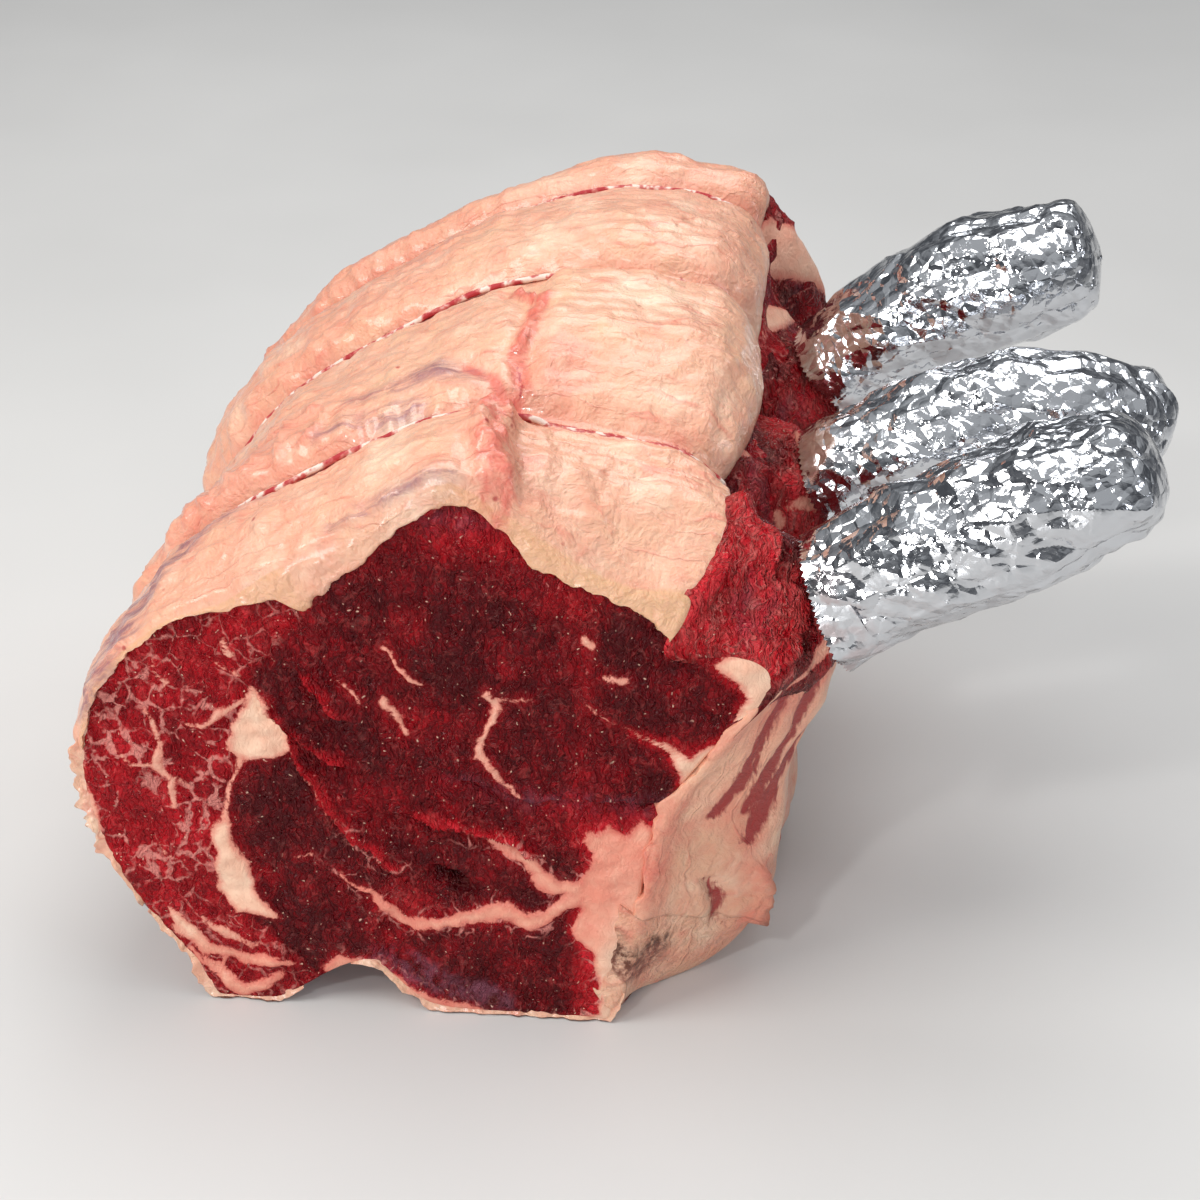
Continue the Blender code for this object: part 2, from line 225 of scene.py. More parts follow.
def outlineRadius(points, theta):
    offsets = np.array(points, float) - roast["axis"]
    angles = np.unwrap(np.arctan2(offsets[:, 1], offsets[:, 0]))
    radii = np.tile(np.hypot(offsets[:, 0], offsets[:, 1]), 3)
    turn = 2 * math.pi
    angles = np.concatenate([angles - turn, angles, angles + turn])
    slopes = np.gradient(radii, angles)
    theta = (np.asarray(theta) + math.pi) % turn - math.pi
    span = np.clip(np.searchsorted(angles, theta) - 1, 0, len(angles) - 2)
    return hermite(theta, angles[span], angles[span + 1], radii[span], radii[span + 1],
                   slopes[span], slopes[span + 1])


def tieShare(station):
    aside = min(abs(station - y) for y in roast["ties"])
    away = max(aside - roast["grooveFlat"], 0.0) / roast["grooveWidth"]
    return math.exp(-4 * away * away)


def swell(station):
    stops = (roast["front"], *roast["ties"], roast["back"])
    for low, high in zip(stops, stops[1:]):
        if low <= station <= high:
            return roast["bulge"] * math.sin(math.pi * (station - low) / (high - low))
    return 0.0


def skinRadius(station, theta):
    """Radius of the outer surface at one station, for angles in radians."""
    keys = sorted(outlines)
    span = min(max(int(np.searchsorted(keys, station)) - 1, 0), len(keys) - 2)
    low, high = keys[span], keys[span + 1]
    share = ease(low, high, station)
    first, second = (outlineRadius(outlines[key], theta) for key in (low, high))
    radius = first + (second - first) * share + swell(station)
    radius = radius - roast["grooveDepth"] * tieShare(station)
    degrees = np.degrees(theta) % 360
    radius = radius - 2.8 * ease(88, 112, degrees) * ease(184, 160, degrees) * ease(-102, -66, station) * ease(79, 62, station)
    turned = ((degrees - neck["angle"]) / neck["halfAngle"]) ** 4
    beside = min(((station - rib["y"]) / neck["halfWidth"]) ** 4 for rib in ribs)
    radius = radius + np.maximum(neck["reach"] - radius, 0) * np.exp(-beside - turned)
    rest = 2.85 * tieShare(station)
    down = np.maximum(-np.sin(theta), 0.01)
    return np.minimum(radius, (roast["axis"][1] - rest) / down)


def skinGrid(stationList, theta):
    """theta is one row for all stations, or a row for each."""
    theta = np.broadcast_to(theta, (len(stationList), np.shape(theta)[-1]))
    return np.array([skinRadius(min(max(y, roast["front"]), roast["back"]), row)
                     for y, row in zip(stationList, theta)])


def placed(station, theta, radius):
    """Roast coordinates of a polar point, leaning back near the front."""
    x = roast["axis"][0] + radius * np.cos(theta)
    z = roast["axis"][1] + radius * np.sin(theta)
    upright = np.clip((station - roast["front"]) / (roast["uprightFrom"] - roast["front"]), 0, 1)
    y = station + roast["faceLean"] * (1 - upright) * z
    return np.stack(np.broadcast_arrays(x, y, z), axis=-1)


tieShape = {"sides": 12, "step": 0.55, "twist": 3.6, "strands": 3, "stand": 0.75, "sunk": 9.0,
            "under": {1: (44, 77, 1.5), 2: (40, 80, 1.6), 3: (40, 60, 0.6)}}


def tautLine(points):
    # the shortest line round these points: where a tight loop lies
    ordered = sorted(map(tuple, points))
    outline = []
    for run in (ordered, ordered[::-1]):
        chain = []
        for point in run:
            while len(chain) > 1:
                (ax, az), (bx, bz) = chain[-2], chain[-1]
                if (bx - ax) * (point[1] - az) - (bz - az) * (point[0] - ax) > 0:
                    break
                chain.pop()
            chain.append(point)
        outline += chain[:-1]
    return np.array(outline)


def tautLoop(station):
    # evenly spaced x, z points of the loop round one section, with its corners eased
    theta = np.linspace(0, 2 * math.pi, 360, endpoint=False)
    radius = skinRadius(station, theta)
    hull = tautLine(np.array(roast["axis"]) + np.stack([radius * np.cos(theta), radius * np.sin(theta)], axis=1))
    closed = np.concatenate([hull, hull[:1]])
    run = np.concatenate([[0], np.cumsum(np.hypot(*np.diff(closed, axis=0).T))])
    at = np.linspace(0, run[-1], int(run[-1] / tieShape["step"]), endpoint=False)
    line = np.stack([np.interp(at, run, closed[:, k]) for k in (0, 1)], axis=1)
    for _ in range(12):
        line = (np.roll(line, 1, axis=0) + 2 * line + np.roll(line, -1, axis=0)) / 4
    return line


def tautRadius(station, theta):
    offsets = tautLoop(station) - roast["axis"]
    angles = np.arctan2(offsets[:, 1], offsets[:, 0])
    return np.interp(theta, angles, np.hypot(*offsets.T), period=2 * math.pi)


# mesh building

def makeMesh(name, points, faces, fields, material, sharp=None, flat=False):
    data = bpy.data.meshes.new(name)
    data.from_pydata(((points + roastShift) * mm).tolist(), [], faces)
    data.validate()
    for key, values in fields.items():
        layer = data.attributes.new(key, "FLOAT", "POINT")
        layer.data.foreach_set("value", np.asarray(values, np.float32).ravel())
    if flat:
        data.shade_flat()
    else:
        data.shade_smooth()
    if sharp:
        data.set_sharp_from_angle(angle=math.radians(sharp))
    data.materials.append(material)
    piece = bpy.data.objects.new(name, data)
    bpy.context.scene.collection.objects.link(piece)
    return piece


def gridFaces(rows, columns, first=0, wrap=False, flip=False):
    i, j = np.meshgrid(np.arange(rows - 1), np.arange(columns if wrap else columns - 1), indexing="ij")
    a = first + i * columns + j
    b = first + i * columns + (j + 1) % columns
    quads = np.stack([a, b, b + columns, a + columns], axis=-1).reshape(-1, 4)
    return (quads[:, ::-1] if flip else quads).tolist()


def tubePiece(name, rings, fields, material, sharp=None, flat=False):
    """Closed rings joined along their length, with a fan over each end."""
    rows, columns = rings.shape[:2]
    points = np.concatenate([rings.reshape(-1, 3), rings[0].mean(axis=0)[None], rings[-1].mean(axis=0)[None]])
    faces = gridFaces(rows, columns, wrap=True)
    start, end, last = rows * columns, rows * columns + 1, (rows - 1) * columns
    for j in range(columns):
        k = (j + 1) % columns
        faces.append((k, j, start))
        faces.append((last + j, last + k, end))
    grown = {key: np.concatenate([np.ravel(v), [np.mean(v[0]), np.mean(v[-1])]]) for key, v in fields.items()}
    return makeMesh(name, points, faces, grown, material, sharp, flat)


def slabPiece(name, outer, inner, fields, material, sharp=None):
    """Two grids of the same size, joined round their four sides."""
    rows, columns = outer.shape[:2]
    count = rows * columns
    points = np.concatenate([outer.reshape(-1, 3), inner.reshape(-1, 3)])
    faces = gridFaces(rows, columns) + gridFaces(rows, columns, first=count, flip=True)
    index = np.arange(count).reshape(rows, columns)
    edge = np.concatenate([index[0, :-1], index[:-1, -1], index[-1, :0:-1], index[:0:-1, 0]])
    after = np.roll(edge, -1)
    faces += np.stack([after, edge, edge + count, after + count], axis=-1).tolist()
    grown = {key: np.tile(np.ravel(v), 2) for key, v in fields.items()}
    return makeMesh(name, points, faces, grown, material, sharp)


def gridNormals(grid):
    across = np.gradient(grid, axis=1)
    down = np.gradient(grid, axis=0)
    normal = np.cross(across, down)
    return normal / np.maximum(np.linalg.norm(normal, axis=-1, keepdims=True), 1e-9)


# node helper

def addNode(tree, kind, inputs=None, ramp=None, **settings):
    """One node, its settings, and its inputs as values or as sockets to link from."""
    node = tree.nodes.new(kind)
    for key, value in settings.items():
        setattr(node, key, value)
    if ramp:
        stops = node.color_ramp.elements
        while len(stops) < len(ramp):
            stops.new(0.5)
        for stop, (place, colour) in zip(stops, ramp):
            stop.position = place
            stop.color = linear(colour) if isinstance(colour, str) else (colour,) * 3 + (1.0,)
    for key, value in (inputs or {}).items():
        if isinstance(value, bpy.types.NodeSocket):
            tree.links.new(value, node.inputs[key])
        elif isinstance(value, str):
            node.inputs[key].default_value = linear(value)
        else:
            node.inputs[key].default_value = value
    return node


def newMaterial(name, **shaderValues):
    """An empty material with its surface shader, whose constant values are set on its own sockets."""
    material = bpy.data.materials.new(name)
    material.use_nodes = True
    tree = material.node_tree
    shader = tree.nodes["Principled BSDF"]
    for key, value in shaderValues.items():
        shader.inputs[key.replace("_", " ")].default_value = value
    return material, tree, shader


# camera, floor and light

view = {"lens": 60.0, "sensor": 36.0, "around": 5.0, "above": 34.0, "distance": 705.4, "aim": (27.0, 94.74, 0.0)}


def aimedAt(place, target, name, data):
    thing = bpy.data.objects.new(name, data)
    thing.location = place
    thing.rotation_euler = (Vector(target) - Vector(place)).to_track_quat("-Z", "Y").to_euler()
    bpy.context.scene.collection.objects.link(thing)
    return thing


print("camera, floor and lights")
around, above = math.radians(view["around"]), math.radians(view["above"])
backward = Vector((math.sin(around) * math.cos(above), -math.cos(around) * math.cos(above), math.sin(above)))
aim = Vector(((np.array(view["aim"]) + roastShift) * mm).tolist())
camera = bpy.data.cameras.new("camera")
camera.lens, camera.sensor_width = view["lens"], view["sensor"]
camera.clip_start = 0.02
bpy.context.scene.camera = aimedAt(aim + backward * view["distance"] * mm, aim, "camera", camera)

lights = (
    # name, place in m, size in m, watts, colour
    ("keyWindow", (-0.75, -0.3, 1.0), 0.5, 6.6, "#fffcf8"),
    ("topSoft", (0.1, 0.35, 1.15), 0.8, 7.5, "#ffffff"),
    ("frontWindow", (-0.4, -1.3, 0.3), 0.4, 6.0, "#ffffff"),
    ("glint", (-0.35, -0.75, 0.95), 0.07, 1.9, "#ffffff"),
    ("rightStrip", (0.95, -0.45, 0.6), 0.3, 1.5, "#f4f7ff"),
)
for name, place, size, watts, colour in lights:
    lamp = bpy.data.lights.new(name, "AREA")
    lamp.shape, lamp.size, lamp.energy = "SQUARE", size, watts
    lamp.color = linear(colour)[:3]
    aimedAt(place, (0.0, 0.0, 0.08), name, lamp)

world = bpy.data.worlds.new("studio")
world.use_nodes = True
ray = addNode(world.node_tree, "ShaderNodeTexCoord").outputs["Generated"]
climb = addNode(world.node_tree, "ShaderNodeSeparateXYZ", {0: ray}).outputs["Z"]
room = addNode(world.node_tree, "ShaderNodeValToRGB", {"Fac": climb}, ramp=[(0.0, "#9a9ca0"), (0.35, "#5d6066"), (0.8, "#e4e7ea")])
world.node_tree.links.new(room.outputs["Color"], world.node_tree.nodes["Background"].inputs["Color"])
world.node_tree.nodes["Background"].inputs["Strength"].default_value = 0.62
bpy.context.scene.world = world
bpy.context.scene.view_settings.view_transform = "Standard"

# honed pale stone: nearly even, with a dull shine
stone, tree, shader = newMaterial("palePlainFloor", Roughness=0.55, IOR=1.5)
coords = addNode(tree, "ShaderNodeTexCoord")
cloud = addNode(tree, "ShaderNodeTexNoise", {"Vector": coords.outputs["Object"], "Scale": 4.0, "Detail": 3.0})
tint = addNode(tree, "ShaderNodeValToRGB", {"Fac": cloud.outputs["Fac"]}, ramp=[(0.3, "#cccbc9"), (0.7, "#d5d4d2")])
tree.links.new(tint.outputs["Color"], shader.inputs["Base Color"])
floorMesh = bpy.data.meshes.new("floor")
floorMesh.from_pydata([(-3, -3, 0), (3, -3, 0), (3, 3, 0), (-3, 3, 0)], [], [(0, 1, 2, 3)])
floorMesh.materials.append(stone)
floor = bpy.data.objects.new("floor", floorMesh)
bpy.context.scene.collection.objects.link(floor)


# beef cut by a knife: wet fibres seen end on, dark where it has stood in the air and bright
# where it is fresh, with fat in thin branching lines. Its tone also carries painted shade in hollows
# and painted light on raised lumps
meat = {
    "dark": "#470309", "deep": "#72060f", "bright": "#a6101a", "fresh": "#cf2530",
    "fat": "#eab59a", "fatPale": "#f3cdb2", "fatFlush": "#e38b76", "fatEdge": "#d2655a",
    "veil": "#8a5264", "vein": "#dc8a80", "membraneAndSheen": "#c98078",
    "bundle": 1.4,      # mm across a fibre bundle
    "fibre": 0.55,      # mm; coarser than a real fibre, so that it shows
    "marbleCell": 6.0,  # mm between two lines of marbling in the lip
    "bead": 2.8,        # mm between beads of juice
    "strand": 5.0,      # mm between hair-thin strands
}


def meatMaterial(name, grain=1.0, drawn=(1.0, 1.0, 0.5), leaning=0.7, sinew=0.1, membraneAndSheen=0.0):
    material, tree, shader = newMaterial(name, IOR=1.38, Specular_IOR_Level=0.22)
    place = addNode(tree, "ShaderNodeTexCoord").outputs["Object"]

    def field(key):
        return addNode(tree, "ShaderNodeAttribute", attribute_name=key).outputs["Fac"]

    def maths(operation, a, b=0.5, c=0.0):
        return addNode(tree, "ShaderNodeMath", {0: a, 1: b, 2: c}, operation=operation).outputs[0]

    def noiseOf(size, detail=2.0, rough=0.5, vector=None, distortion=0.0):
        return addNode(tree, "ShaderNodeTexNoise", {
            "Vector": vector or place, "Scale": 1 / (size * mm), "Detail": detail,
            "Roughness": rough, "Distortion": distortion}).outputs["Fac"]

    def ranged(value, low, high, start=0.0, end=1.0):
        return addNode(tree, "ShaderNodeMapRange", {0: value, 1: low, 2: high, 3: start, 4: end}).outputs[0]

    def mixed(amount, a, b):
        return addNode(tree, "ShaderNodeMix", {0: amount, 6: a, 7: b}, data_type="RGBA").outputs[2]

    def cellsOf(size, vector, kind):
        return addNode(tree, "ShaderNodeTexVoronoi", {"Vector": vector, "Scale": 1 / (size * mm)}, feature=kind)

    fatField, tone, lip = field("fat"), field("tone"), field("lip")
    veil, flush = field("veil"), field("flush")
    # position pushed about by noise, so that cells and lines wander
    wander = addNode(tree, "ShaderNodeTexNoise", {"Vector": place, "Scale": 1 / (5 * mm), "Detail": 3.0})
    offset = addNode(tree, "ShaderNodeVectorMath", {0: wander.outputs["Color"], 1: (0.5, 0.5, 0.5)}, operation="SUBTRACT")
    pushed = addNode(tree, "ShaderNodeVectorMath", {0: offset.outputs[0], 1: (5 * mm,) * 3, 2: place},
                     operation="MULTIPLY_ADD").outputs[0]
    along = addNode(tree, "ShaderNodeMapping", {"Vector": pushed, "Rotation": (0.0, leaning, 0.0), "Scale": drawn}).outputs[0]

    fibre = noiseOf(meat["fibre"], 1.0, 0.6, along)
    # wandering hair-thin lines: where a smooth noise crosses its middle value
    swirl = noiseOf(meat["strand"], 1.0, 0.5, along, 1.2)
    strand = ranged(maths("ABSOLUTE", maths("SUBTRACT", swirl, 0.5)), 0.03, 0.0)
    broad = noiseOf(13, 3.0, 0.55)
    middle = noiseOf(3.4, 3.0, 0.62, along)
    bundle = cellsOf(meat["bundle"], along, "DISTANCE_TO_EDGE").outputs["Distance"]
    bundleTone = addNode(tree, "ShaderNodeSeparateColor", {0: cellsOf(meat["bundle"], along, "F1").outputs["Color"]}).outputs[0]
    shade = maths("MULTIPLY_ADD", broad, 0.7, tone)
    shade = maths("MULTIPLY_ADD", middle, 0.34, shade)
    shade = maths("MULTIPLY_ADD", fibre, 0.3, shade)
    shade = maths("MULTIPLY_ADD", bundleTone, 0.22, shade)
    shade = maths("MULTIPLY_ADD", ranged(bundle, 0.10, 0.0), -0.16, shade)
    shade = maths("MULTIPLY_ADD", strand, 0.12, shade)
    shade = maths("SUBTRACT", shade, 0.66)
    red = addNode(tree, "ShaderNodeValToRGB", {"Fac": shade}, ramp=[
        (0.05, meat["dark"]), (0.34, meat["deep"]), (0.68, meat["bright"]), (0.95, meat["fresh"])]).outputs["Color"]

    # marbling: the walls of wandering cells, broken up, wide only in the lip
    cells = cellsOf(meat["marbleCell"], pushed, "DISTANCE_TO_EDGE").outputs["Distance"]
    width = maths("MULTIPLY_ADD", noiseOf(8, 3.0, 0.65), 0.85, -0.39)
    width = maths("MULTIPLY", width, lip)
    marble = ranged(maths("SUBTRACT", cells, width), 0.04, -0.02)
    marble = maths("MULTIPLY", marble, ranged(noiseOf(4.5, 3.0, 0.6, pushed), 0.36, 0.5))
    marble = maths("MULTIPLY", marble, maths("MINIMUM", maths("MULTIPLY", lip, 1.6), 1.0))
    # flecks: short pale hairs lying across the grain
    hairs = cellsOf(2.8, addNode(tree, "ShaderNodeMapping", {
        "Vector": pushed, "Rotation": (0.0, 0.6, 0.0), "Scale": (1.0, 1.0, 0.22)}).outputs[0], "F1").outputs["Distance"]
    hair = maths("MULTIPLY", ranged(hairs, 0.09, 0.03, 0.0, 0.6), ranged(noiseOf(11), 0.48, 0.6))

    # drawn fat: the distance in mm plus noise gives it a ragged edge
    ragged = maths("MULTIPLY_ADD", noiseOf(1.7, 4.0, 0.7, pushed), 2.6, -1.3)
    depth = maths("ADD", fatField, ragged)
    fatMask = ranged(depth, -0.25, 0.3)
    nearFat = ranged(depth, -2.2, 0.1)
    pale = addNode(tree, "ShaderNodeValToRGB", {"Fac": noiseOf(5, 3.0)}, ramp=[(0.3, meat["fat"]), (0.7, meat["fatPale"])]).outputs["Color"]
    pale = mixed(maths("MULTIPLY", flush, ranged(noiseOf(6, 3.0, 0.6, pushed), 0.25, 0.6, 0.6, 1.0)), pale, meat["fatFlush"])
    pale = mixed(ranged(depth, 0.1, 1.9, 0.72, 0.0), pale, meat["fatEdge"])
    # painted glints: pale dots half a millimetre wide that stand in for wet highlights
    glintDots = cellsOf(2.0, pushed, "F1")
    paintedGlint = ranged(glintDots.outputs["Distance"], 0.15, 0.08)
    glintShare = addNode(tree, "ShaderNodeSeparateColor", {0: glintDots.outputs["Color"]}).outputs[1]
    paintedGlint = maths("MULTIPLY", paintedGlint, ranged(glintShare, 0.4, 0.8))
    thin = maths("MAXIMUM", marble, hair)
    body = mixed(maths("MULTIPLY", nearFat, 0.4), red, meat["bright"])
    thin = maths("MAXIMUM", thin, maths("MULTIPLY", strand, sinew))
    body = mixed(maths("MULTIPLY", thin, 0.8), body, meat["vein"])
    # pink streaks: partly connective tissue, partly a painted wet sheen that pales the torn meat
    body = mixed(maths("MULTIPLY", ranged(noiseOf(2.6, 4.0, 0.7, along), 0.42, 0.72), membraneAndSheen), body, meat["membraneAndSheen"])
    # the painted glints, mixed in pale fat colour
    body = mixed(maths("MULTIPLY", paintedGlint, 0.75), body, meat["fatPale"])
    # veil: purple membrane; along the ledge of the cut face it is also a painted sheen
    veilMask = maths("MULTIPLY", veil, ranged(noiseOf(3.2, 4.0, 0.65, along), 0.38, 0.62))
    body = mixed(maths("MULTIPLY", veilMask, 0.5), body, meat["veil"])
    tree.links.new(mixed(fatMask, body, pale), shader.inputs["Base Color"])

    tree.links.new(ranged(noiseOf(7, 3.0), 0.35, 0.65, 0.14, 0.36), shader.inputs["Roughness"])
    height = maths("MULTIPLY_ADD", ranged(bundle, 0.0, 0.25), 0.5, fibre)
    height = maths("MULTIPLY_ADD", middle, 1.0, height)
    height = maths("MULTIPLY_ADD", thin, 0.3, height)
    # beads of juice, which catch the light as points
    beads = cellsOf(meat["bead"], place, "F1").outputs["Distance"]
    bead = addNode(tree, "ShaderNodeMapRange", {0: beads, 1: 0.17, 2: 0.04}, interpolation_type="SMOOTHSTEP").outputs[0]
    height = maths("MULTIPLY_ADD", bead, 1.3, height)
    height = maths("MULTIPLY_ADD", strand, 0.4, height)
    calm = maths("MULTIPLY_ADD", fatMask, -0.7, 1.0)
    bump = addNode(tree, "ShaderNodeBump", {"Height": height, "Strength": calm, "Distance": 0.0006 * grain})
    tree.links.new(bump.outputs["Normal"], shader.inputs["Normal"])
    return material


# hard back fat: dense and waxy, drying on the outside, with fine connective lines and small blood spots
fatLook = {
    "cream": "#ecbb99", "peach": "#e9b093", "pale": "#f3d1b4", "cut": "#e6b38a", "blush": "#dc7563",
    "blood": "#a81f26", "veil": "#8a5a68",
    "line": 0.9,     # mm between fibrous lines
    "pore": 2.6,     # mm between dimples
    "spot": 13.0,    # mm between blood spots
    "relief": 0.6,   # mm, how deep lines and dimples go
    "coat": 0.5,     # how wet it is
    "mottle": 0.6,   # least share of the cut's own colour
}


def fatMaterial(name, look):
    material, tree, shader = newMaterial(name, IOR=1.45, Coat_Weight=look["coat"], Coat_Roughness=0.12,
                                         Subsurface_Weight=0.15, Subsurface_Scale=0.003)
    shader.inputs["Subsurface Radius"].default_value = (1.0, 0.5, 0.3)
    place = addNode(tree, "ShaderNodeTexCoord").outputs["Object"]

    def field(key):
        return addNode(tree, "ShaderNodeAttribute", attribute_name=key).outputs["Fac"]

    def maths(operation, a, b=0.5, c=0.0):
        return addNode(tree, "ShaderNodeMath", {0: a, 1: b, 2: c}, operation=operation).outputs[0]

    def noiseOf(size, detail=2.0, rough=0.5, vector=None):
        return addNode(tree, "ShaderNodeTexNoise", {
            "Vector": vector or place, "Scale": 1 / (size * mm), "Detail": detail, "Roughness": rough}).outputs["Fac"]

    def ranged(value, low, high, start=0.0, end=1.0):
        return addNode(tree, "ShaderNodeMapRange", {0: value, 1: low, 2: high, 3: start, 4: end}).outputs[0]

    def mixed(amount, a, b):
        return addNode(tree, "ShaderNodeMix", {0: amount, 6: a, 7: b}, data_type="RGBA").outputs[2]

    blush, veil, redField, cut = field("blush"), field("veil"), field("red"), field("cut")
    wander = addNode(tree, "ShaderNodeTexNoise", {"Vector": place, "Scale": 1 / (10 * mm), "Detail": 2.0})
    offset = addNode(tree, "ShaderNodeVectorMath", {0: wander.outputs["Color"], 1: (0.5, 0.5, 0.5)}, operation="SUBTRACT")
    pushed = addNode(tree, "ShaderNodeVectorMath", {0: offset.outputs[0], 1: (6 * mm,) * 3, 2: place},
                     operation="MULTIPLY_ADD").outputs[0]
    # lines run round the roast, so the pattern is drawn out across the spine
    squeezed = addNode(tree, "ShaderNodeMapping", {"Vector": pushed, "Rotation": (0.0, 0.0, 0.3), "Scale": (0.14, 1.0, 0.2)}).outputs[0]
    lines = noiseOf(look["line"], 3.0, 0.65, squeezed)
    lumps = noiseOf(look["pore"], 2.0, 0.5, pushed)
    thread = ranged(maths("ABSOLUTE", maths("SUBTRACT", noiseOf(7, 2.0, 0.55, squeezed), 0.5)), 0.03, 0.0)
    base = addNode(tree, "ShaderNodeValToRGB", {"Fac": noiseOf(20, 4.0, 0.6)}, ramp=[
        (0.3, look["cream"]), (0.5, look["peach"]), (0.7, look["pale"])]).outputs["Color"]
    base = mixed(ranged(noiseOf(12, 4.0, 0.65, pushed), 0.54, 0.72, 0.0, 0.32), base, look["blush"])
    base = mixed(ranged(lines, 0.52, 0.72, 0.0, 0.2), base, look["blush"])
    base = mixed(ranged(lines, 0.46, 0.3, 0.0, 0.25), base, look["pale"])
    base = mixed(maths("MULTIPLY", thread, ranged(noiseOf(9), 0.45, 0.62, 0.0, 0.5)), base, look["blush"])
    cutShare = ranged(noiseOf(2.2, 4.0, 0.7), 0.38, 0.56, look["mottle"], 1.0)
    base = mixed(maths("MULTIPLY", cut, cutShare), base, look["cut"])
    base = mixed(maths("MULTIPLY", blush, ranged(noiseOf(3, 3.0, 0.6, pushed), 0.25, 0.6, 0.5, 1.0)), base, look["blush"])
    veilMask = maths("MULTIPLY", veil, ranged(noiseOf(2.4, 4.0, 0.75, squeezed), 0.36, 0.6))
    base = mixed(maths("MULTIPLY", veilMask, 0.85), base, look["veil"])
    spots = addNode(tree, "ShaderNodeTexVoronoi", {"Vector": place, "Scale": 1 / (look["spot"] * mm)}, feature="F1").outputs["Distance"]
    base = mixed(ranged(spots, 0.07, 0.03, 0.0, 0.75), base, look["blood"])
    drawn = addNode(tree, "ShaderNodeMapping", {"Vector": pushed, "Scale": (1.0, 1.0, 0.22)}).outputs[0]
    redMask = ranged(maths("ADD", redField, maths("MULTIPLY_ADD", noiseOf(1.6, 3.0, 0.6, drawn), 4.0, -2.0)), -0.35, 0.55)
    base = mixed(maths("MULTIPLY", redMask, 0.92), base, look["blood"])
    tree.links.new(base, shader.inputs["Base Color"])
    tree.links.new(ranged(noiseOf(8, 3.0), 0.3, 0.7, 0.28, 0.5), shader.inputs["Roughness"])
    height = maths("MULTIPLY_ADD", lines, 0.45, lumps)
    height = maths("MULTIPLY_ADD", noiseOf(1.3, 3.0, 0.6, pushed), 0.5, height)
    height = maths("MULTIPLY_ADD", thread, 0.25, height)
    bump = addNode(tree, "ShaderNodeBump", {"Height": height, "Strength": 1.0, "Distance": look["relief"] * mm})
    tree.links.new(bump.outputs["Normal"], shader.inputs["Normal"])
    return material


# kitchen aluminium foil: rolled bright, crushed by hand, so flat facets between sharp folds
foilLook = {"tint": "#d4d6da", "roughness": 0.11, "facet": 3.6, "fine": 1.4}


def foilMaterial(name):
    material, tree, shader = newMaterial(name, Metallic=1.0, Roughness=foilLook["roughness"])
    place = addNode(tree, "ShaderNodeTexCoord").outputs["Object"]

    def cellSquare(size, shift):
        moved = addNode(tree, "ShaderNodeVectorMath", {0: place, 1: (shift,) * 3}, operation="ADD").outputs[0]
        near = addNode(tree, "ShaderNodeTexVoronoi", {"Vector": moved, "Scale": 1 / (size * mm)}, feature="F1").outputs["Distance"]
        return addNode(tree, "ShaderNodeMath", {0: near, 1: near}, operation="MULTIPLY").outputs[0]

    def facets(size):
        return addNode(tree, "ShaderNodeMath", {0: cellSquare(size, 0.0), 1: cellSquare(size, 0.37)}, operation="SUBTRACT").outputs[0]

    rough = addNode(tree, "ShaderNodeAttribute", attribute_name="crush").outputs["Fac"]
    # a pink tint near the meat end: partly a blood smear, partly a painted reflection of the meat
    blood = addNode(tree, "ShaderNodeAttribute", attribute_name="blood").outputs["Fac"]
    smearAndReflection = addNode(tree, "ShaderNodeTexNoise", {"Vector": place, "Scale": 1 / (5 * mm), "Detail": 3.0}).outputs["Fac"]
    smearAndReflection = addNode(tree, "ShaderNodeMapRange", {0: smearAndReflection, 1: 0.45, 2: 0.6}).outputs[0]
    smearAndReflection = addNode(tree, "ShaderNodeMath", {0: smearAndReflection, 1: blood}, operation="MULTIPLY").outputs[0]
    colour = addNode(tree, "ShaderNodeMix", {0: smearAndReflection, 6: foilLook["tint"], 7: "#b98a84"}, data_type="RGBA").outputs[2]
    tree.links.new(colour, shader.inputs["Base Color"])
    coarse = addNode(tree, "ShaderNodeBump", {"Height": facets(foilLook["facet"]), "Strength": rough, "Distance": 0.0006})
    fine = addNode(tree, "ShaderNodeBump", {"Height": facets(foilLook["fine"]), "Strength": rough, "Distance": 0.00005,
                                            "Normal": coarse.outputs["Normal"]})
    tree.links.new(fine.outputs["Normal"], shader.inputs["Normal"])
    return material


# cotton butcher's twine: two-tone where it has drunk blood
twineLook = {"clean": "#ecd9cc", "stained": "#b03036", "middle": "#cf7a72", "patch": 3.2, "fibre": 0.35}


def twineMaterial(name):
    material, tree, shader = newMaterial(name, Roughness=0.75, IOR=1.5)
    place = addNode(tree, "ShaderNodeTexCoord").outputs["Object"]
    patch = addNode(tree, "ShaderNodeTexNoise", {"Vector": place, "Scale": 1 / (twineLook["patch"] * mm), "Detail": 2.0}).outputs["Fac"]
    tint = addNode(tree, "ShaderNodeValToRGB", {"Fac": patch}, ramp=[
        (0.4, twineLook["stained"]), (0.5, twineLook["middle"]), (0.57, twineLook["clean"])]).outputs["Color"]
    tree.links.new(tint, shader.inputs["Base Color"])
    fuzz = addNode(tree, "ShaderNodeTexNoise", {"Vector": place, "Scale": 1 / (twineLook["fibre"] * mm), "Detail": 2.0}).outputs["Fac"]
    bump = addNode(tree, "ShaderNodeBump", {"Height": fuzz, "Strength": 0.6, "Distance": 0.0001})
    tree.links.new(bump.outputs["Normal"], shader.inputs["Normal"])
    return material


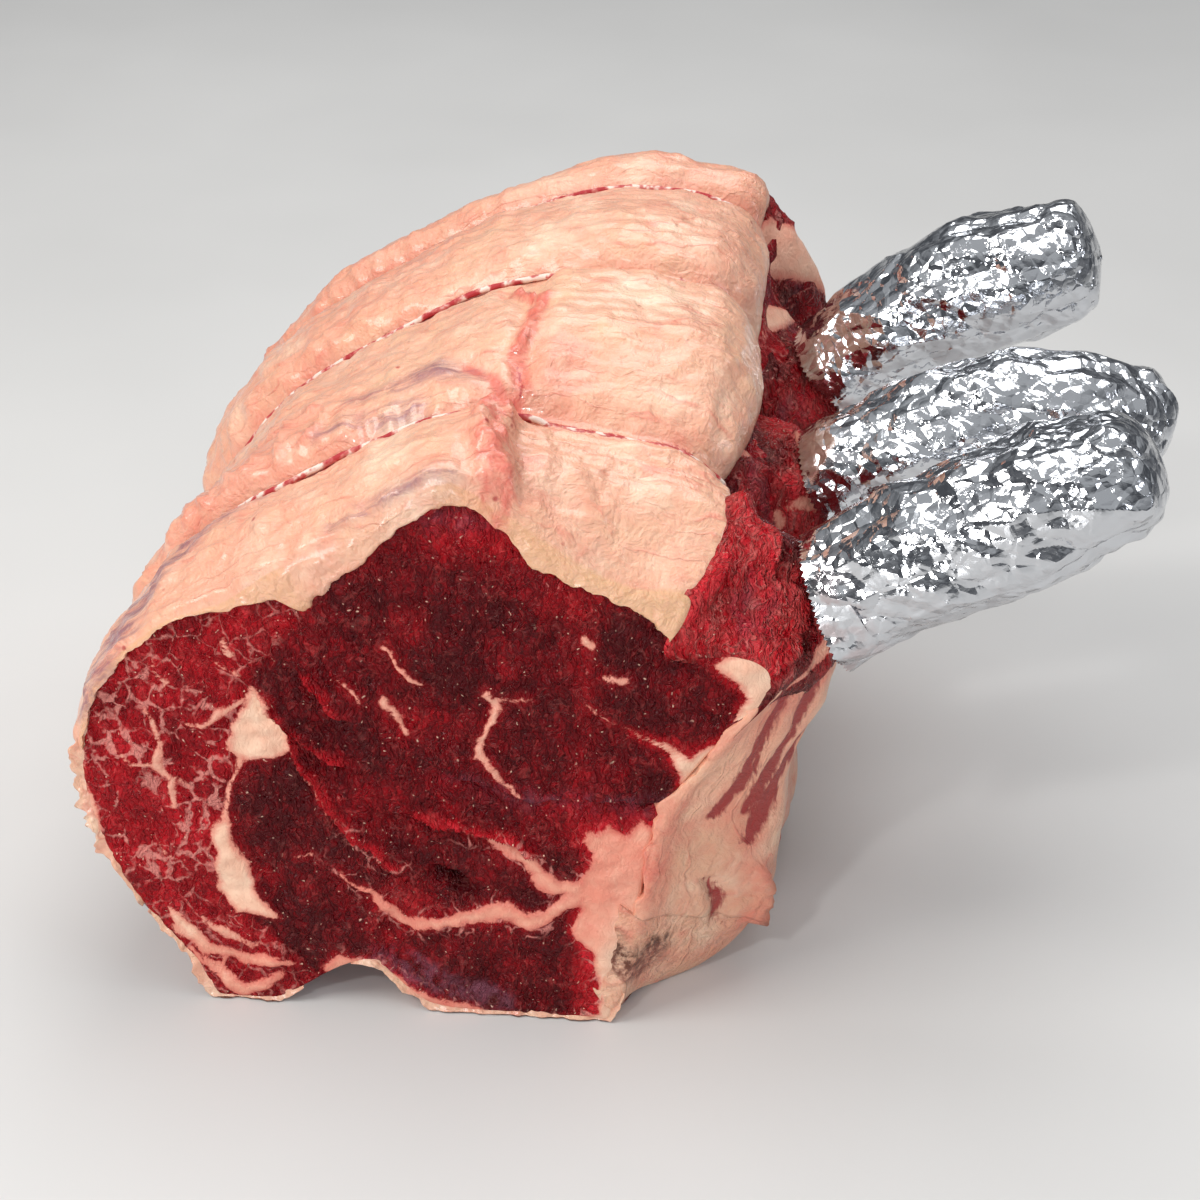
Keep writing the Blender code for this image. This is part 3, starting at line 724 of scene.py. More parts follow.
# the lean, cut across: the eye, the lip and the fat between them
cutFace = {
    # fat's lower edge on the cut face, radius by angle
    "fatEdge": {34: 71, 42: 69, 51: 67, 61: 64, 71: 64, 76: 69, 82: 74, 88: 75, 92: 73, 108: 62,
                120: 58, 128: 56, 130.5: 63, 135: 66, 140: 70, 145: 76, 151: 81, 161: 87, 170: 92, 180: 95},
    "fatThickness": {38: 11, 60: 10, 78: 5.5, 92: 3.5, 104: 7, 117: 10, 130: 5.5, 150: 4, 182: 3},
    "boneThickness": {-58: 11, -30: 14, 0: 14, 18: 12},
    "fatRight": {-108: 38, -79: 42, -54: 43, 7: 41, 59: 46, 79: 51},
    "fatLeft": {-108: 178, -54: 188, 79: 200},
    "boneLow": {-108: -58, -79: -52, 79: -50},
    "boneHigh": {-108: 18, -79: 16, 79: 18},
    "patches": (
        # the wedge and the strip of seam fat between lip and eye
        [(-45, 97), (-41, 93), (-38, 86), (-35, 77), (-41, 74.5), (-49, 74), (-52, 76), (-50, 84), (-47, 90)],
        [(-53, 60), (-51, 53), (-48, 40), (-46, 33), (-42, 27), (-46, 26.5), (-53, 28), (-55, 31), (-58, 35),
         (-57, 47), (-57.5, 53)],
        # the pad of fat over the ribs
        [(46, -6), (44, 9), (45, 14), (42, 22), (37.5, 28), (38, 38), (41, 49), (41, 53), (39.5, 55), (41, 59),
         (47, 61), (51, 58), (53, 63), (57, 60), (60, 66), (66, 68), (64, 76), (61, 83), (52, 87), (60, 86), (67, 83),
         (73, 86), (77, 94), (79, 100), (77, 104), (70, 108), (76, 112), (90, 114), (110, 110), (110, 60), (80, -6)],
        # pale skin along the foot, and on the lower lip
        [(-30, 12), (-26, 17), (-13, 12.5), (-2, 5), (-1, 1), (-20, 5)],
    ),
    "lines": (
        [(9, 56, 0.5), (13, 55.5, 0.8), (18, 53.5, 1.2), (25, 50, 1.7), (28, 45, 1.9), (33, 41.5, 2.2), (40, 41, 3)],
        [(-25, 42, 0.4), (-19, 38, 0.8), (-13, 32, 1.1), (-5, 28, 1.5), (2, 28, 1.5), (8, 31, 2), (18, 33, 2),
         (25, 31.5, 2.2), (30, 33, 1.8), (38, 39, 2.2)],
        [(-49, 74, 0.8), (-51, 70, 0.7), (-53, 62, 0.7), (-54, 58, 1)],
        # lip marbling
        [(-73, 90, 0.2), (-69, 79, 0.9), (-71, 72, 1.2), (-68, 67, 0.8), (-67, 60, 0.7)],
        [(-63, 85, 0.3), (-56, 85, 0.8), (-52, 88, 1.2), (-47, 92, 0.5)],
        [(-83, 77, 0.2), (-77, 73, 0.7), (-71, 72, 0.4)],
        [(-70, 101, 0.2), (-66, 96, 0.6), (-69, 92, 0.2)],
        [(-55, 103, 0.2), (-48, 99, 0.5)],
        [(-68, 67, 0.7), (-62, 65, 0.2)],
        [(-50, 107.5, 0.9), (-49, 105, 0.9)],
        [(-60, 46, 0.2), (-57, 51, 0.4)],
        # streaks of fat and membrane on the lower lip
        [(-72, 28, 0.5), (-67, 21, 2.4), (-61, 16, 2.6), (-54, 14, 1.6), (-46, 13, 2.2), (-39, 12, 0.8)],
        [(-67, 16, 0.4), (-62, 11, 1.2), (-57, 6, 2.6), (-51, 4, 2.6), (-45, 7, 1.2), (-41, 9, 0.4)],
        [(-62, 27, 0.2), (-56, 22, 1.3), (-49, 18, 0.9), (-46, 18, 0.3)],
        [(-58, 10, 0.6), (-55, 14, 0.9)],
        # the skin's frayed edge on the left and along the foot
        [(-88, 92, 0.4), (-92, 82, 1.2), (-92, 66, 2.0), (-90, 56, 2.4), (-88, 46, 0.8)],
        [(-42, 92, 0.1), (-36, 80, 0.15), (-31, 68, 0.35), (-22, 55, 0.15), (-9, 44, 0.3)],
        [(58, 86, 0.3), (50, 89, 0.15), (40, 95, 0.2)],
        [(-2, 3, 1.2), (10, 1, 1.0), (22, -2, 1.4), (34, -3, 2.0), (46, 0, 3.0), (52, 8, 3.0)],
        [(-76, 52, 0.1), (-70, 46, 0.5), (-66, 44, 0.1)],
        # eye streaks
        [(-10, 107, 0.4), (-5, 101, 0.9), (-2, 99, 0.3)],
        [(-11, 94, 0.9), (-8, 89, 0.8), (-5, 84, 0.4)],
        [(15, 97, 1.1), (18, 94, 0.8), (15, 87, 0.9), (13, 80, 0.9), (17, 75, 0.8), (22, 70, 0.4)],
        [(15, 96, 0.5), (26, 95.5, 0.1)],
        [(39, 113, 1.2), (42, 111, 0.7)],
        [(45, 104, 0.5), (49, 102, 1.1)],
        [(-22, 99, 0.1), (-17, 93, 0.4)],
        [(-36, 45, 0.1), (-31, 47, 0.3)],
    ),
    # bright rims where one sheet of meat lies over the next: higher on the left of each
    "rims": (
        [(-42, 92, 0.3), (-36, 80, 0.5), (-31, 68, 0.6), (-22, 55, 0.6), (-9, 44, 0.5)],
        [(-38, 87, 0.3), (-31, 80, 0.5), (-24, 75, 0.4)],
        [(-31, 99, 0.2), (-23, 89, 0.3)],
        [(-3, 60, 0.3), (8, 58, 0.5), (20, 55, 0.5), (27, 52, 0.3)],
    ),
    "ledge": [(8, 74, 0.3), (23, 69, 0.5), (40, 69, 0.6), (51, 68, 0.6), (66, 69, 0.5)],
    # left of this line the pad is salmon, right of it beige membrane
    "membrane": [(42, 14, 0), (44, 22, 0), (48, 28, 0), (56, 41, 0), (60, 47, 0), (70, 66, 0), (76, 78, 0)],
    "fold": [(-92, 72, 0.2), (-81, 71, 0.2), (-70, 67, 0.1)],
    "seam": [(-31, 116, 0), (-38, 107, 0), (-44, 99, 0), (-50, 84, 0), (-53, 68, 0), (-57, 47, 0), (-50, 27, 0),
             (-36, 14, 0), (-30, 8, 0)],
    "cavity": (5, 42),
    "purple": [(-15, 16, 2), (-5, 12, 3), (10, 7, 3), (17, 5, 2)],
    "peak": (6, 138),
}


def cutFields(x, z, shake):
    """What the knife shows at x, z of the front cut: distances in mm, tones and height."""
    points = np.stack([x, shake + 0 * x, z], axis=-1)
    wx = x + 1.7 * noise(points, 8, 21) + 0.7 * noise(points, 3, 22)
    wz = z + 1.7 * noise(points, 8, 23) + 0.7 * noise(points, 3, 24)
    fat = np.full(x.shape, 50.0)
    for patch in cutFace["patches"]:
        fat = np.minimum(fat, patchDistance(wx, wz, patch))
    pads = fat.copy()
    for line in cutFace["lines"]:
        fat = np.minimum(fat, lineDistance(wx, wz, line))
    seam = lineDistance(wx, wz, cutFace["seam"])
    inLip = ease(-1.5, 1.5, -lineSide(wx, wz, cutFace["seam"]) * seam)

    rim, step = np.full(x.shape, 50.0), 0.0 * x
    for line in cutFace["rims"]:
        away = lineDistance(wx, wz, line)
        rim = np.minimum(rim, np.where(lineSide(wx, wz, line) > 0, away, 2.5 * away))
        step = step + 1.5 * lineSide(wx, wz, line) * np.exp(-np.maximum(away, 0) / 4.5)
    ledge = lineDistance(wx, wz, cutFace["ledge"])
    step = step + 1.8 * lineSide(wx, wz, cutFace["ledge"]) * np.exp(-np.maximum(ledge, 0) / 5)
    fold = lineDistance(wx, wz, cutFace["fold"])
    holeX, holeZ = cutFace["cavity"]
    hole = np.hypot((wx - holeX) / 5.0, (wz - holeZ + 0.4 * (wx - holeX)) / 2.2)

    height = step - 0.8 * np.exp(-(np.maximum(fold, 0) / 1.2) ** 2) - 6.0 * np.exp(-hole ** 2)
    height = height + 0.5 * ease(0.6, -0.8, fat) - 0.7 * np.exp(-(np.maximum(seam, 0) / 1.6) ** 2) * ease(0, 2, pads)
    height = height + 1.6 * layeredNoise(points, 20, 2, 31) + 0.55 * layeredNoise(points * [1.0, 1, 1.5], 6, 3, 32)
    height = height + 0.8 * np.exp(-(np.maximum(rim, 0) / 0.9) ** 2)

    tone = 0.10 + 0.34 * inLip + 0.22 * layeredNoise(points, 24, 3, 33)
    peakX, peakZ = cutFace["peak"]
    tone = tone + 0.32 * np.exp(-((x - peakX) / 18) ** 2 - ((z - peakZ) / 9) ** 2)
    tone = tone + 0.55 * np.exp(-(np.maximum(rim, 0) / 1.8) ** 2)
    below = ease(0, 1, -lineSide(wx, wz, cutFace["ledge"])) * np.exp(-np.maximum(ledge, 0) / 5)
    # the cavity is also painted darker: painted shade in the hole
    tone = tone + 0.34 * below - 0.4 * np.exp(-hole ** 2)
    tone = tone + 0.25 * np.exp(-((z - 31) / 6) ** 2) * ease(-20, 0, x) * ease(38, 20, x)
    tone = tone + 0.45 * np.exp(-((x - 41) / 4) ** 2) * ease(45, 34, z)
    tone = tone + 0.4 * np.exp(-(np.maximum(pads, 0) / 2.2) ** 2) * ease(-34, -20, x)
    # painted shade: the tone is darker along the fold's crease
    tone = tone - 0.12 * np.exp(-(np.maximum(fold, 0) / 1.5) ** 2)
    veil = np.exp(-(np.maximum(lineDistance(wx, wz, cutFace["purple"]), 0) / 2) ** 2)
    # along the ledge the purple is partly silverskin and partly a painted sheen, the sky's reflection, spread wider
    # below the ledge
    under = lineSide(wx, wz, cutFace["ledge"]) < 0
    veil = np.maximum(veil, 0.6 * np.exp(-(np.maximum(ledge, 0) / np.where(under, 4.0, 1.6)) ** 2))
    veil = np.maximum(veil, 0.6 * np.exp(-((x - 8) / 9) ** 2 - ((z - 143) / 3) ** 2))
    salmon = lineDistance(wx, wz, cutFace["membrane"]) * lineSide(wx, wz, cutFace["membrane"])
    flush = 0.95 * ease(34, 40, x) * ease(-5, 7, salmon) * ease(80, 66, z)
    flush = np.maximum(flush, 0.8 * ease(24, 14, z) * ease(45, 38, x))
    flush = np.maximum(flush, 0.75 * ease(66, 58, z) * ease(-32, -26, x) * ease(44, 38, x))
    inLip = inLip * (0.45 + 0.55 * ease(1.5, 0.6, np.hypot((x + 70) / 18, (z - 74) / 30)))
    branching = 0.8 * np.exp(-(np.maximum(fat, 0) / 3.0) ** 2) * ease(64, 54, z) * ease(-34, -22, x)
    lip = np.maximum(inLip, branching)
    return {"fat": -fat, "lip": lip, "tone": tone, "veil": veil, "flush": flush}, height


def fatFloor(station, theta):
    """Radius of the fat cap's inner surface."""
    skin = skinRadius(station, theta)
    degrees = np.degrees(theta)
    inner = skin - along(cutFace["fatThickness"], degrees)
    front = np.minimum(along(cutFace["fatEdge"], degrees), skin - 0.9)
    return front + (inner - front) * ease(-108, -92, station)


def leanRadius(station, theta):
    skin = skinRadius(station, theta)
    degrees = (np.degrees(theta) + 90) % 360 - 90
    low, high = along(cutFace["boneLow"], station), along(cutFace["boneHigh"], station)
    right, left = along(cutFace["fatRight"], station), along(cutFace["fatLeft"], station)
    wide = np.where(degrees < -89, degrees + 360, degrees)
    underFat = ease(right - 1, right + 3, wide) * ease(left + 1, left - 3, wide)
    # well below the fat along the roast, and up against it at the two cut ends
    within = ease(-106, -98, station) * ease(78, 70, station)
    cover = np.minimum(fatFloor(station, np.radians(wide)) + 2.2 - 1.6 * within, skin - 0.7 - 2.3 * within)
    radius = skin - underFat * (skin - cover)
    underBone = ease(low - 1, low + 3, degrees) * ease(high + 1, high - 3, degrees)
    deep = skin - along(cutFace["boneThickness"], degrees) + 2.0
    deep = deep + (skin - 1.2 - 2.0 * ease(high - 2, high - 9, degrees) - deep) * ease(-100, -107, station)
    return radius - underBone * (radius - deep)


def makeLean(columns=480, faceRings=92, tubeRings=58, backRings=44):
    theta = np.linspace(0, 2 * math.pi, columns, endpoint=False)
    front, back = roast["front"], roast["back"]
    rim = leanRadius(front, theta)
    rings, fields = [], {key: [] for key in ("fat", "lip", "tone", "veil", "flush")}

    def keep(ring, values):
        rings.append(ring)
        for key in fields:
            fields[key].append(values[key])

    for share in np.linspace(0.012, 1, faceRings) ** 0.92:
        radius = share * (rim - 0.4)
        x, z = roast["axis"][0] + radius * np.cos(theta), roast["axis"][1] + radius * np.sin(theta)
        values, height = cutFields(x, z, 0)
        edge = np.maximum(2.2 - (rim - radius), 0)
        inward = 2.2 - np.sqrt(np.maximum(2.2 ** 2 - edge ** 2, 0))
        ring = placed(front, theta, radius)
        ring[:, 1] += 0.9 + inward - height * ease(0, 6, rim - radius)
        keep(ring, values)
    turn = 1 / (1 + np.exp(-(np.linspace(0, 1, tubeRings) - 0.5) * 4))
    turn = (turn - turn[0]) / (turn[-1] - turn[0])
    ridge = ease(-0.2, 0.6, 1)
    for station in front + 3 + (back - front - 6) * np.linspace(0, 1, tubeRings):
        radius = leanRadius(station, theta)
        ring = placed(station, theta, radius)
        lumps = 1.0 * layeredNoise(ring, 16, 3, 41) + 0.5 * ridged(ring * [1, 0.35, 1], 7, 42)
        rest = ease(0, 8, ring[:, 2])
        ring = placed(station, theta, radius + (lumps - 0.8) * rest)
        values, _ = cutFields(ring[:, 0], ring[:, 2], station)
        patch = layeredNoise(ring * [1, 0.5, 1], 20, 3, 43)
        near = ease(14, 2, station - front)
        values["fat"] = np.where(near > 0.5, values["fat"], 4 * patch - 2.6)
        values["tone"] = values["tone"] * near + (0.35 + 0.25 * patch) * (1 - near)
        values["lip"] = values["lip"] * near + 0.35 * (1 - near)
        values["veil"] = np.maximum(values["veil"] * near, ease(0.1, 0.5, noise(ring, 30, 44)) * 0.6)
        values["flush"] = np.maximum(values["flush"], 0.35)
        keep(ring, values)
    rimBack = leanRadius(back, theta)
    for share in (np.linspace(1, 0.012, backRings)) ** 0.92:
        radius = share * (rimBack - 0.4)
        x = roast["axis"][0] + share * (rim - 0.4) * np.cos(theta)
        z = roast["axis"][1] + share * (rim - 0.4) * np.sin(theta)
        values, height = cutFields(x, z, 0)
        ring = placed(back, theta, radius)
        edge = np.maximum(2.2 - (rimBack - radius), 0)
        inward = 2.2 - np.sqrt(np.maximum(2.2 ** 2 - edge ** 2, 0))
        ring[:, 1] -= 0.6 + inward - 0.7 * height * ease(0, 6, rimBack - radius)
        keep(ring, values)
    rings = np.array(rings)
    piece = tubePiece("leanMeat", rings, {key: np.array(value) for key, value in fields.items()},
                      meatMaterial("rawBeefCut"))
    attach(piece, "root")
    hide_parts("eye_muscle", "lip_muscle", "seam_fat")
    return piece


print("lean")
makeLean()


# the fat cap
capShape = {
    "columns": 212, "spineRows": 190, "facetRows": 12, "rimRows": 6,
    "rimMost": 7.0,
    "rimRound": {38: 7.0, 60: 5.5, 80: 3.5, 100: 2.2, 125: 1.6, 180: 2.5},   # mm by angle, how round the front edge is
    "edgeRound": 6.0,      # how far in the rounding of the thick right edge reaches, in degrees
    "steps": (4.0, 2.8, 2.0),   # mm that the fat swells behind each tie on the left
    "grooveLine": [(84, -6), (80, -14), (81, -29), (82, -36), (80, -46), (81, -52)],
    "fork": [(90, -38), (85, -44), (81, -52)],
    "knob": [(83, -61), (83, -68), (84, -78), (82, -92), (80, -104)],
    "blister": (85, -59, 2.8),
    "crease": [(53, -27), (60, -31), (70, -29), (78, -31)],
    "veils": ([(128, -63, 1), (141, -67, 5), (152, -80, 8), (160, -95, 9), (168, -104, 8)],
              [(113, -98, 0.5), (103, -101, 1.2), (97, -102, 2), (88, -104, 2.4)],
              [(112, -37, 0.6), (104, -39, 2.0), (96, -37, 3.0), (88, -43, 1.6)],
              [(118, -47, 0.6), (108, -47, 2.0), (98, -49, 2.4)]),
    "slab": (80, -49, 4),
}


def makeFatCap():
    front, back = roast["front"], roast["back"]
    shape = capShape
    facet = np.linspace(0, 1, shape["facetRows"])
    turned = np.radians(np.linspace(14, 78, shape["rimRows"]))
    spine = np.linspace(front + shape["rimMost"], back - 1.2, shape["spineRows"])
    stationList = np.concatenate([np.full(len(facet), front), front + shape["rimMost"] * (1 - np.cos(turned)), spine,
                                  [back - 0.6, back - 0.25], np.full(5, back)])
    share = np.linspace(0, 1, shape["columns"])
    share = share - 0.022 * np.sin(2 * math.pi * share)
    right, left = along(cutFace["fatRight"], stationList) - 0.5, along(cutFace["fatLeft"], stationList)
    degrees = right[:, None] + (left - right)[:, None] * share[None, :]
    rough = placed(stationList[:, None], np.radians(degrees), 90.0)
    loose = (np.exp(-share / 0.03) + np.exp(-(1 - share) / 0.05))[None, :]
    degrees = degrees + 1.4 * layeredNoise(rough, 16, 3, 51) * loose
    theta = np.radians(degrees)
    skin = skinGrid(stationList, theta)
    floorRadius = np.array([fatFloor(y, row) for y, row in zip(stationList, theta)])
    stations = stationList[:, None] + 0 * degrees
    arc = theta * 90

    def distanceTo(points):
        return lineDistance(arc, stations, [(math.radians(p[0]) * 90, p[1], p[2] if len(p) > 2 else 0) for p in points])

    spot = placed(stations, theta, skin)
    leftness = ease(94, 130, degrees)
    groove = np.minimum(distanceTo(shape["grooveLine"]), distanceTo(shape["fork"]) + 0.8)
    knob, crease = distanceTo(shape["knob"]), distanceTo(shape["crease"])
    lift = 1.3 * layeredNoise(spot, 34, 3, 53) + 0.8 * layeredNoise(spot * [1, 0.6, 1], 10, 3, 54)
    lift = lift + 0.7 * (ridged(spot * [0.5, 1.6, 0.6], 7, 64) - 0.4) + 0.4 * layeredNoise(spot, 4, 2, 65)

    # the ties press in, and the fat swells and gathers behind each of them
    press, beside = 0 * lift, np.full(lift.shape, 99.0)
    for place, amount in zip(roast["ties"], shape["steps"]):
        behind = stations - place
        after = ease(0.8, 4.5, behind)
        lift = lift + (amount * leftness + 1.0) * after * np.exp(-np.maximum(behind, 0) / 26)
        lift = lift - 1.4 * leftness * np.exp(-((behind + 5) / 5) ** 2)
        gathered = after * np.exp(-np.maximum(behind - 4, 0) / 8)
        lift = lift + (0.8 + 1.3 * leftness) * gathered * (ridged(spot * [1, 0.3, 1], 8, 55) - 0.45)
        press = np.maximum(press, ease(2.8, 0.9, np.abs(behind)))
        beside = np.minimum(beside, np.abs(behind))
    bunched = ease(110, 120, degrees) * ease(158, 146, degrees) * ease(-52, -48, stations) * ease(-26, -38, stations)
    lift = lift + 2.3 * bunched * (ridged(spot * [1, 0.45, 1], 7, 57) - 0.3)

    # the thick slab between the first two ties, right of the groove
    slabLeft, slabFront, slabBack = shape["slab"]
    wobble = 1.2 * layeredNoise(spot, 14, 2, 52)
    inSlab = ease(slabLeft + 0.5, slabLeft - 2.5, degrees + wobble)
    inSlab = inSlab * ease(slabFront - 2, slabFront + 2, stations + wobble) * ease(slabBack + 1, slabBack - 2, stations + wobble)
    lift = lift + 3.2 * inSlab - 1.1 * np.exp(-(crease / 1.4) ** 2) * inSlab
    lift = lift - 1.2 * inSlab * ease(-30, -33, stations + wobble)
    strandBumps = 0.6 + 0.7 * ridged(spot, 3.5, 66)
    lift = lift - 2.4 * np.exp(-(np.maximum(groove, 0) / 4.6) ** 2)
    lift = lift + 3.6 * strandBumps * np.exp(-(np.maximum(groove, 0) / 1.9) ** 2) * ease(-38, -33, stations)
    ridge = np.exp(-(knob / 5.5) ** 4) * ease(-108, -98, stations)
    lift = lift + ridge * (3.0 + 2.2 * ridged(spot * [1, 0.7, 1], 6, 56) + 1.1 * ridged(spot, 2.8, 67))
    angle, place, size = shape["blister"]
    blister = np.hypot(arc - math.radians(angle) * 90, stations - place) / size
    lift = lift + 1.7 * np.sqrt(np.maximum(1 - blister ** 2, 0))

    outer = skin + lift * ease(0, 7, stations - front) * ease(0, 4, back - stations)
    target = np.array([tautRadius(place, theta) for place in roast["ties"]])
    nearest = np.argmin([np.abs(stations - place) for place in roast["ties"]], axis=0)
    target = np.take_along_axis(target, nearest[None], axis=0)[0]
    outer = outer + press * (target - 0.1 + 0.35 * noise(spot, 6, 63) - outer)
    outer = np.maximum(outer, floorRadius + 0.9)
    # round the right and left edges down to the floor
    fromRight = np.clip((degrees - degrees[:, :1]) / shape["edgeRound"], 0, 1)
    fromLeft = np.clip((degrees[:, -1:] - degrees) / 5.0, 0, 1)
    rounding = (1 - (1 - fromRight) ** 2.6) ** (1 / 2.2) * (1 - (1 - fromLeft) ** 2) ** 0.5
    outer = floorRadius + 0.3 + (outer - floorRadius - 0.3) * rounding

    y = stations.astype(float).copy()
    radius = outer.copy()
    count, rimRows = len(facet), shape["rimRows"]
    rim = along(shape["rimRound"], degrees[0])
    ragged = 0.9 * layeredNoise(spot[0], 5, 3, 58) + 0.4 * noise(spot[0], 1.6, 68)
    inside = np.minimum(floorRadius[0] + ragged * rounding[0], outer[0] - 0.6)
    drop = np.minimum(rim, 0.6 * (outer[0] - inside))
    for i, part in enumerate(facet):
        radius[i] = inside + (outer[0] - drop - inside) * part
        y[i] = front - 0.2 + 2.4 * (1 - min(part / 0.16, 1)) ** 2
    for i, angle in enumerate(turned):
        radius[count + i] -= drop * (1 - math.sin(angle))
        y[count + i] = front + rim * (1 - math.cos(angle))
    tail = np.exp(-(stations - front - shape["rimMost"]) / 6)
    tail[:count + rimRows] = 0
    y = y - (shape["rimMost"] - rim)[None, :] * tail * (stations > front)
    for i in range(5):
        radius[-1 - i] = floorRadius[-1] + (outer[-1] - floorRadius[-1]) * (i + 0.5) / 5
    radius = np.maximum(radius, floorRadius - 0.5)
    grid = placed(y, theta, radius)
    bumpy = 0.5 * layeredNoise(grid, 6, 3, 59)
    grid[:count, :, 1] -= bumpy[:count] * np.minimum(facet * 3, 1)[:, None]

    innerY = np.linspace(front + 3.0, back - 2.0, len(stationList))[:, None] + 0 * y
    inner = placed(innerY, theta, np.array([fatFloor(v, row) for v, row in zip(innerY[:, 0], theta)]) - 0.6)

    cut = np.zeros(y.shape)
    cut[:count + 2] = 1 - 0.9 * ease(88, 94, degrees[:count + 2]) * ease(128, 120, degrees[:count + 2])
    blush = 1.3 * np.exp(-(np.maximum(groove, 0) / 2.2) ** 4) + 1.7 * np.exp(-((knob - 1) / 4) ** 2) * ridged(spot, 4, 60)
    blush = blush + 0.45 * np.exp(-((degrees - 75) / 6) ** 2 - ((stations + 40) / 9) ** 2)
    blush = blush + 0.6 * np.exp(-(beside / 3.5) ** 2) * ease(-0.4, 0.4, noise(spot, 12, 61))
    blush = blush + 0.22 * ease(0.0, 0.7, noise(spot, 32, 62)) + 0.25 * bunched + 0.15 * leftness + 0.22 * ease(5, 70, stations)
    blush = blush + 0.7 * (blister < 1)
    veil = np.zeros(y.shape)
    for line in shape["veils"]:
        veil = np.maximum(veil, ease(4.0, -3.0, distanceTo(line)))
    red = 1.0 - beside / 0.9 + 1.2 * noise(spot, 10, 69)
    red = np.maximum(red, 0.6 - np.maximum(groove, 0) / 0.6 - 4 * ease(-40, -34, stations))
    fields = {"blush": np.clip(blush, 0, 1), "veil": veil, "red": np.maximum(red, -5), "cut": cut}
    piece = slabPiece("fatCap", grid, inner, fields, fatMaterial("hardBackFat", fatLook))
    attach(piece, "root")
    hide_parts("fat_cap")
    return piece


print("fat cap")
makeFatCap()


# the rib side: membrane and fat over the ribs, in bands
sideLook = dict(fatLook, cream="#e0ae8c", peach="#e0a78a", pale="#efceb0", cut="#f6c0a0", blush="#dd7462", blood="#930f16",
                line=1.3, pore=3.4, spot=34.0, relief=0.7, coat=0.12)
chineLook = dict(sideLook, cut="#5c321f", pore=2.0, relief=1.2, mottle=0.25)
sideShape = {
    "corner": 2.6,    # mm, how round the corner with the cut face is
    "stripes": ([(24, -95, 1.6), (17, -96, 1.9), (6, -95, 1.5), (-3, -93, 2.0), (-11, -96, 1.0)],
                [(20, -87, 1.4), (15, -88, 2.2), (7, -87, 1.3), (-3, -88, 2.1), (-11, -90, 1.2)],
                [(4, -81, 1.2), (-4, -84, 2.0), (-12, -87, 2.4), (-18, -89, 1.2)]),
    "slit": [(-27, -94, 0.8), (-31, -91, 1.3), (-36, -90, 0.6)],
    "flap": [(-24, -87, 0), (-29, -84, 0), (-34, -83, 0)],
}


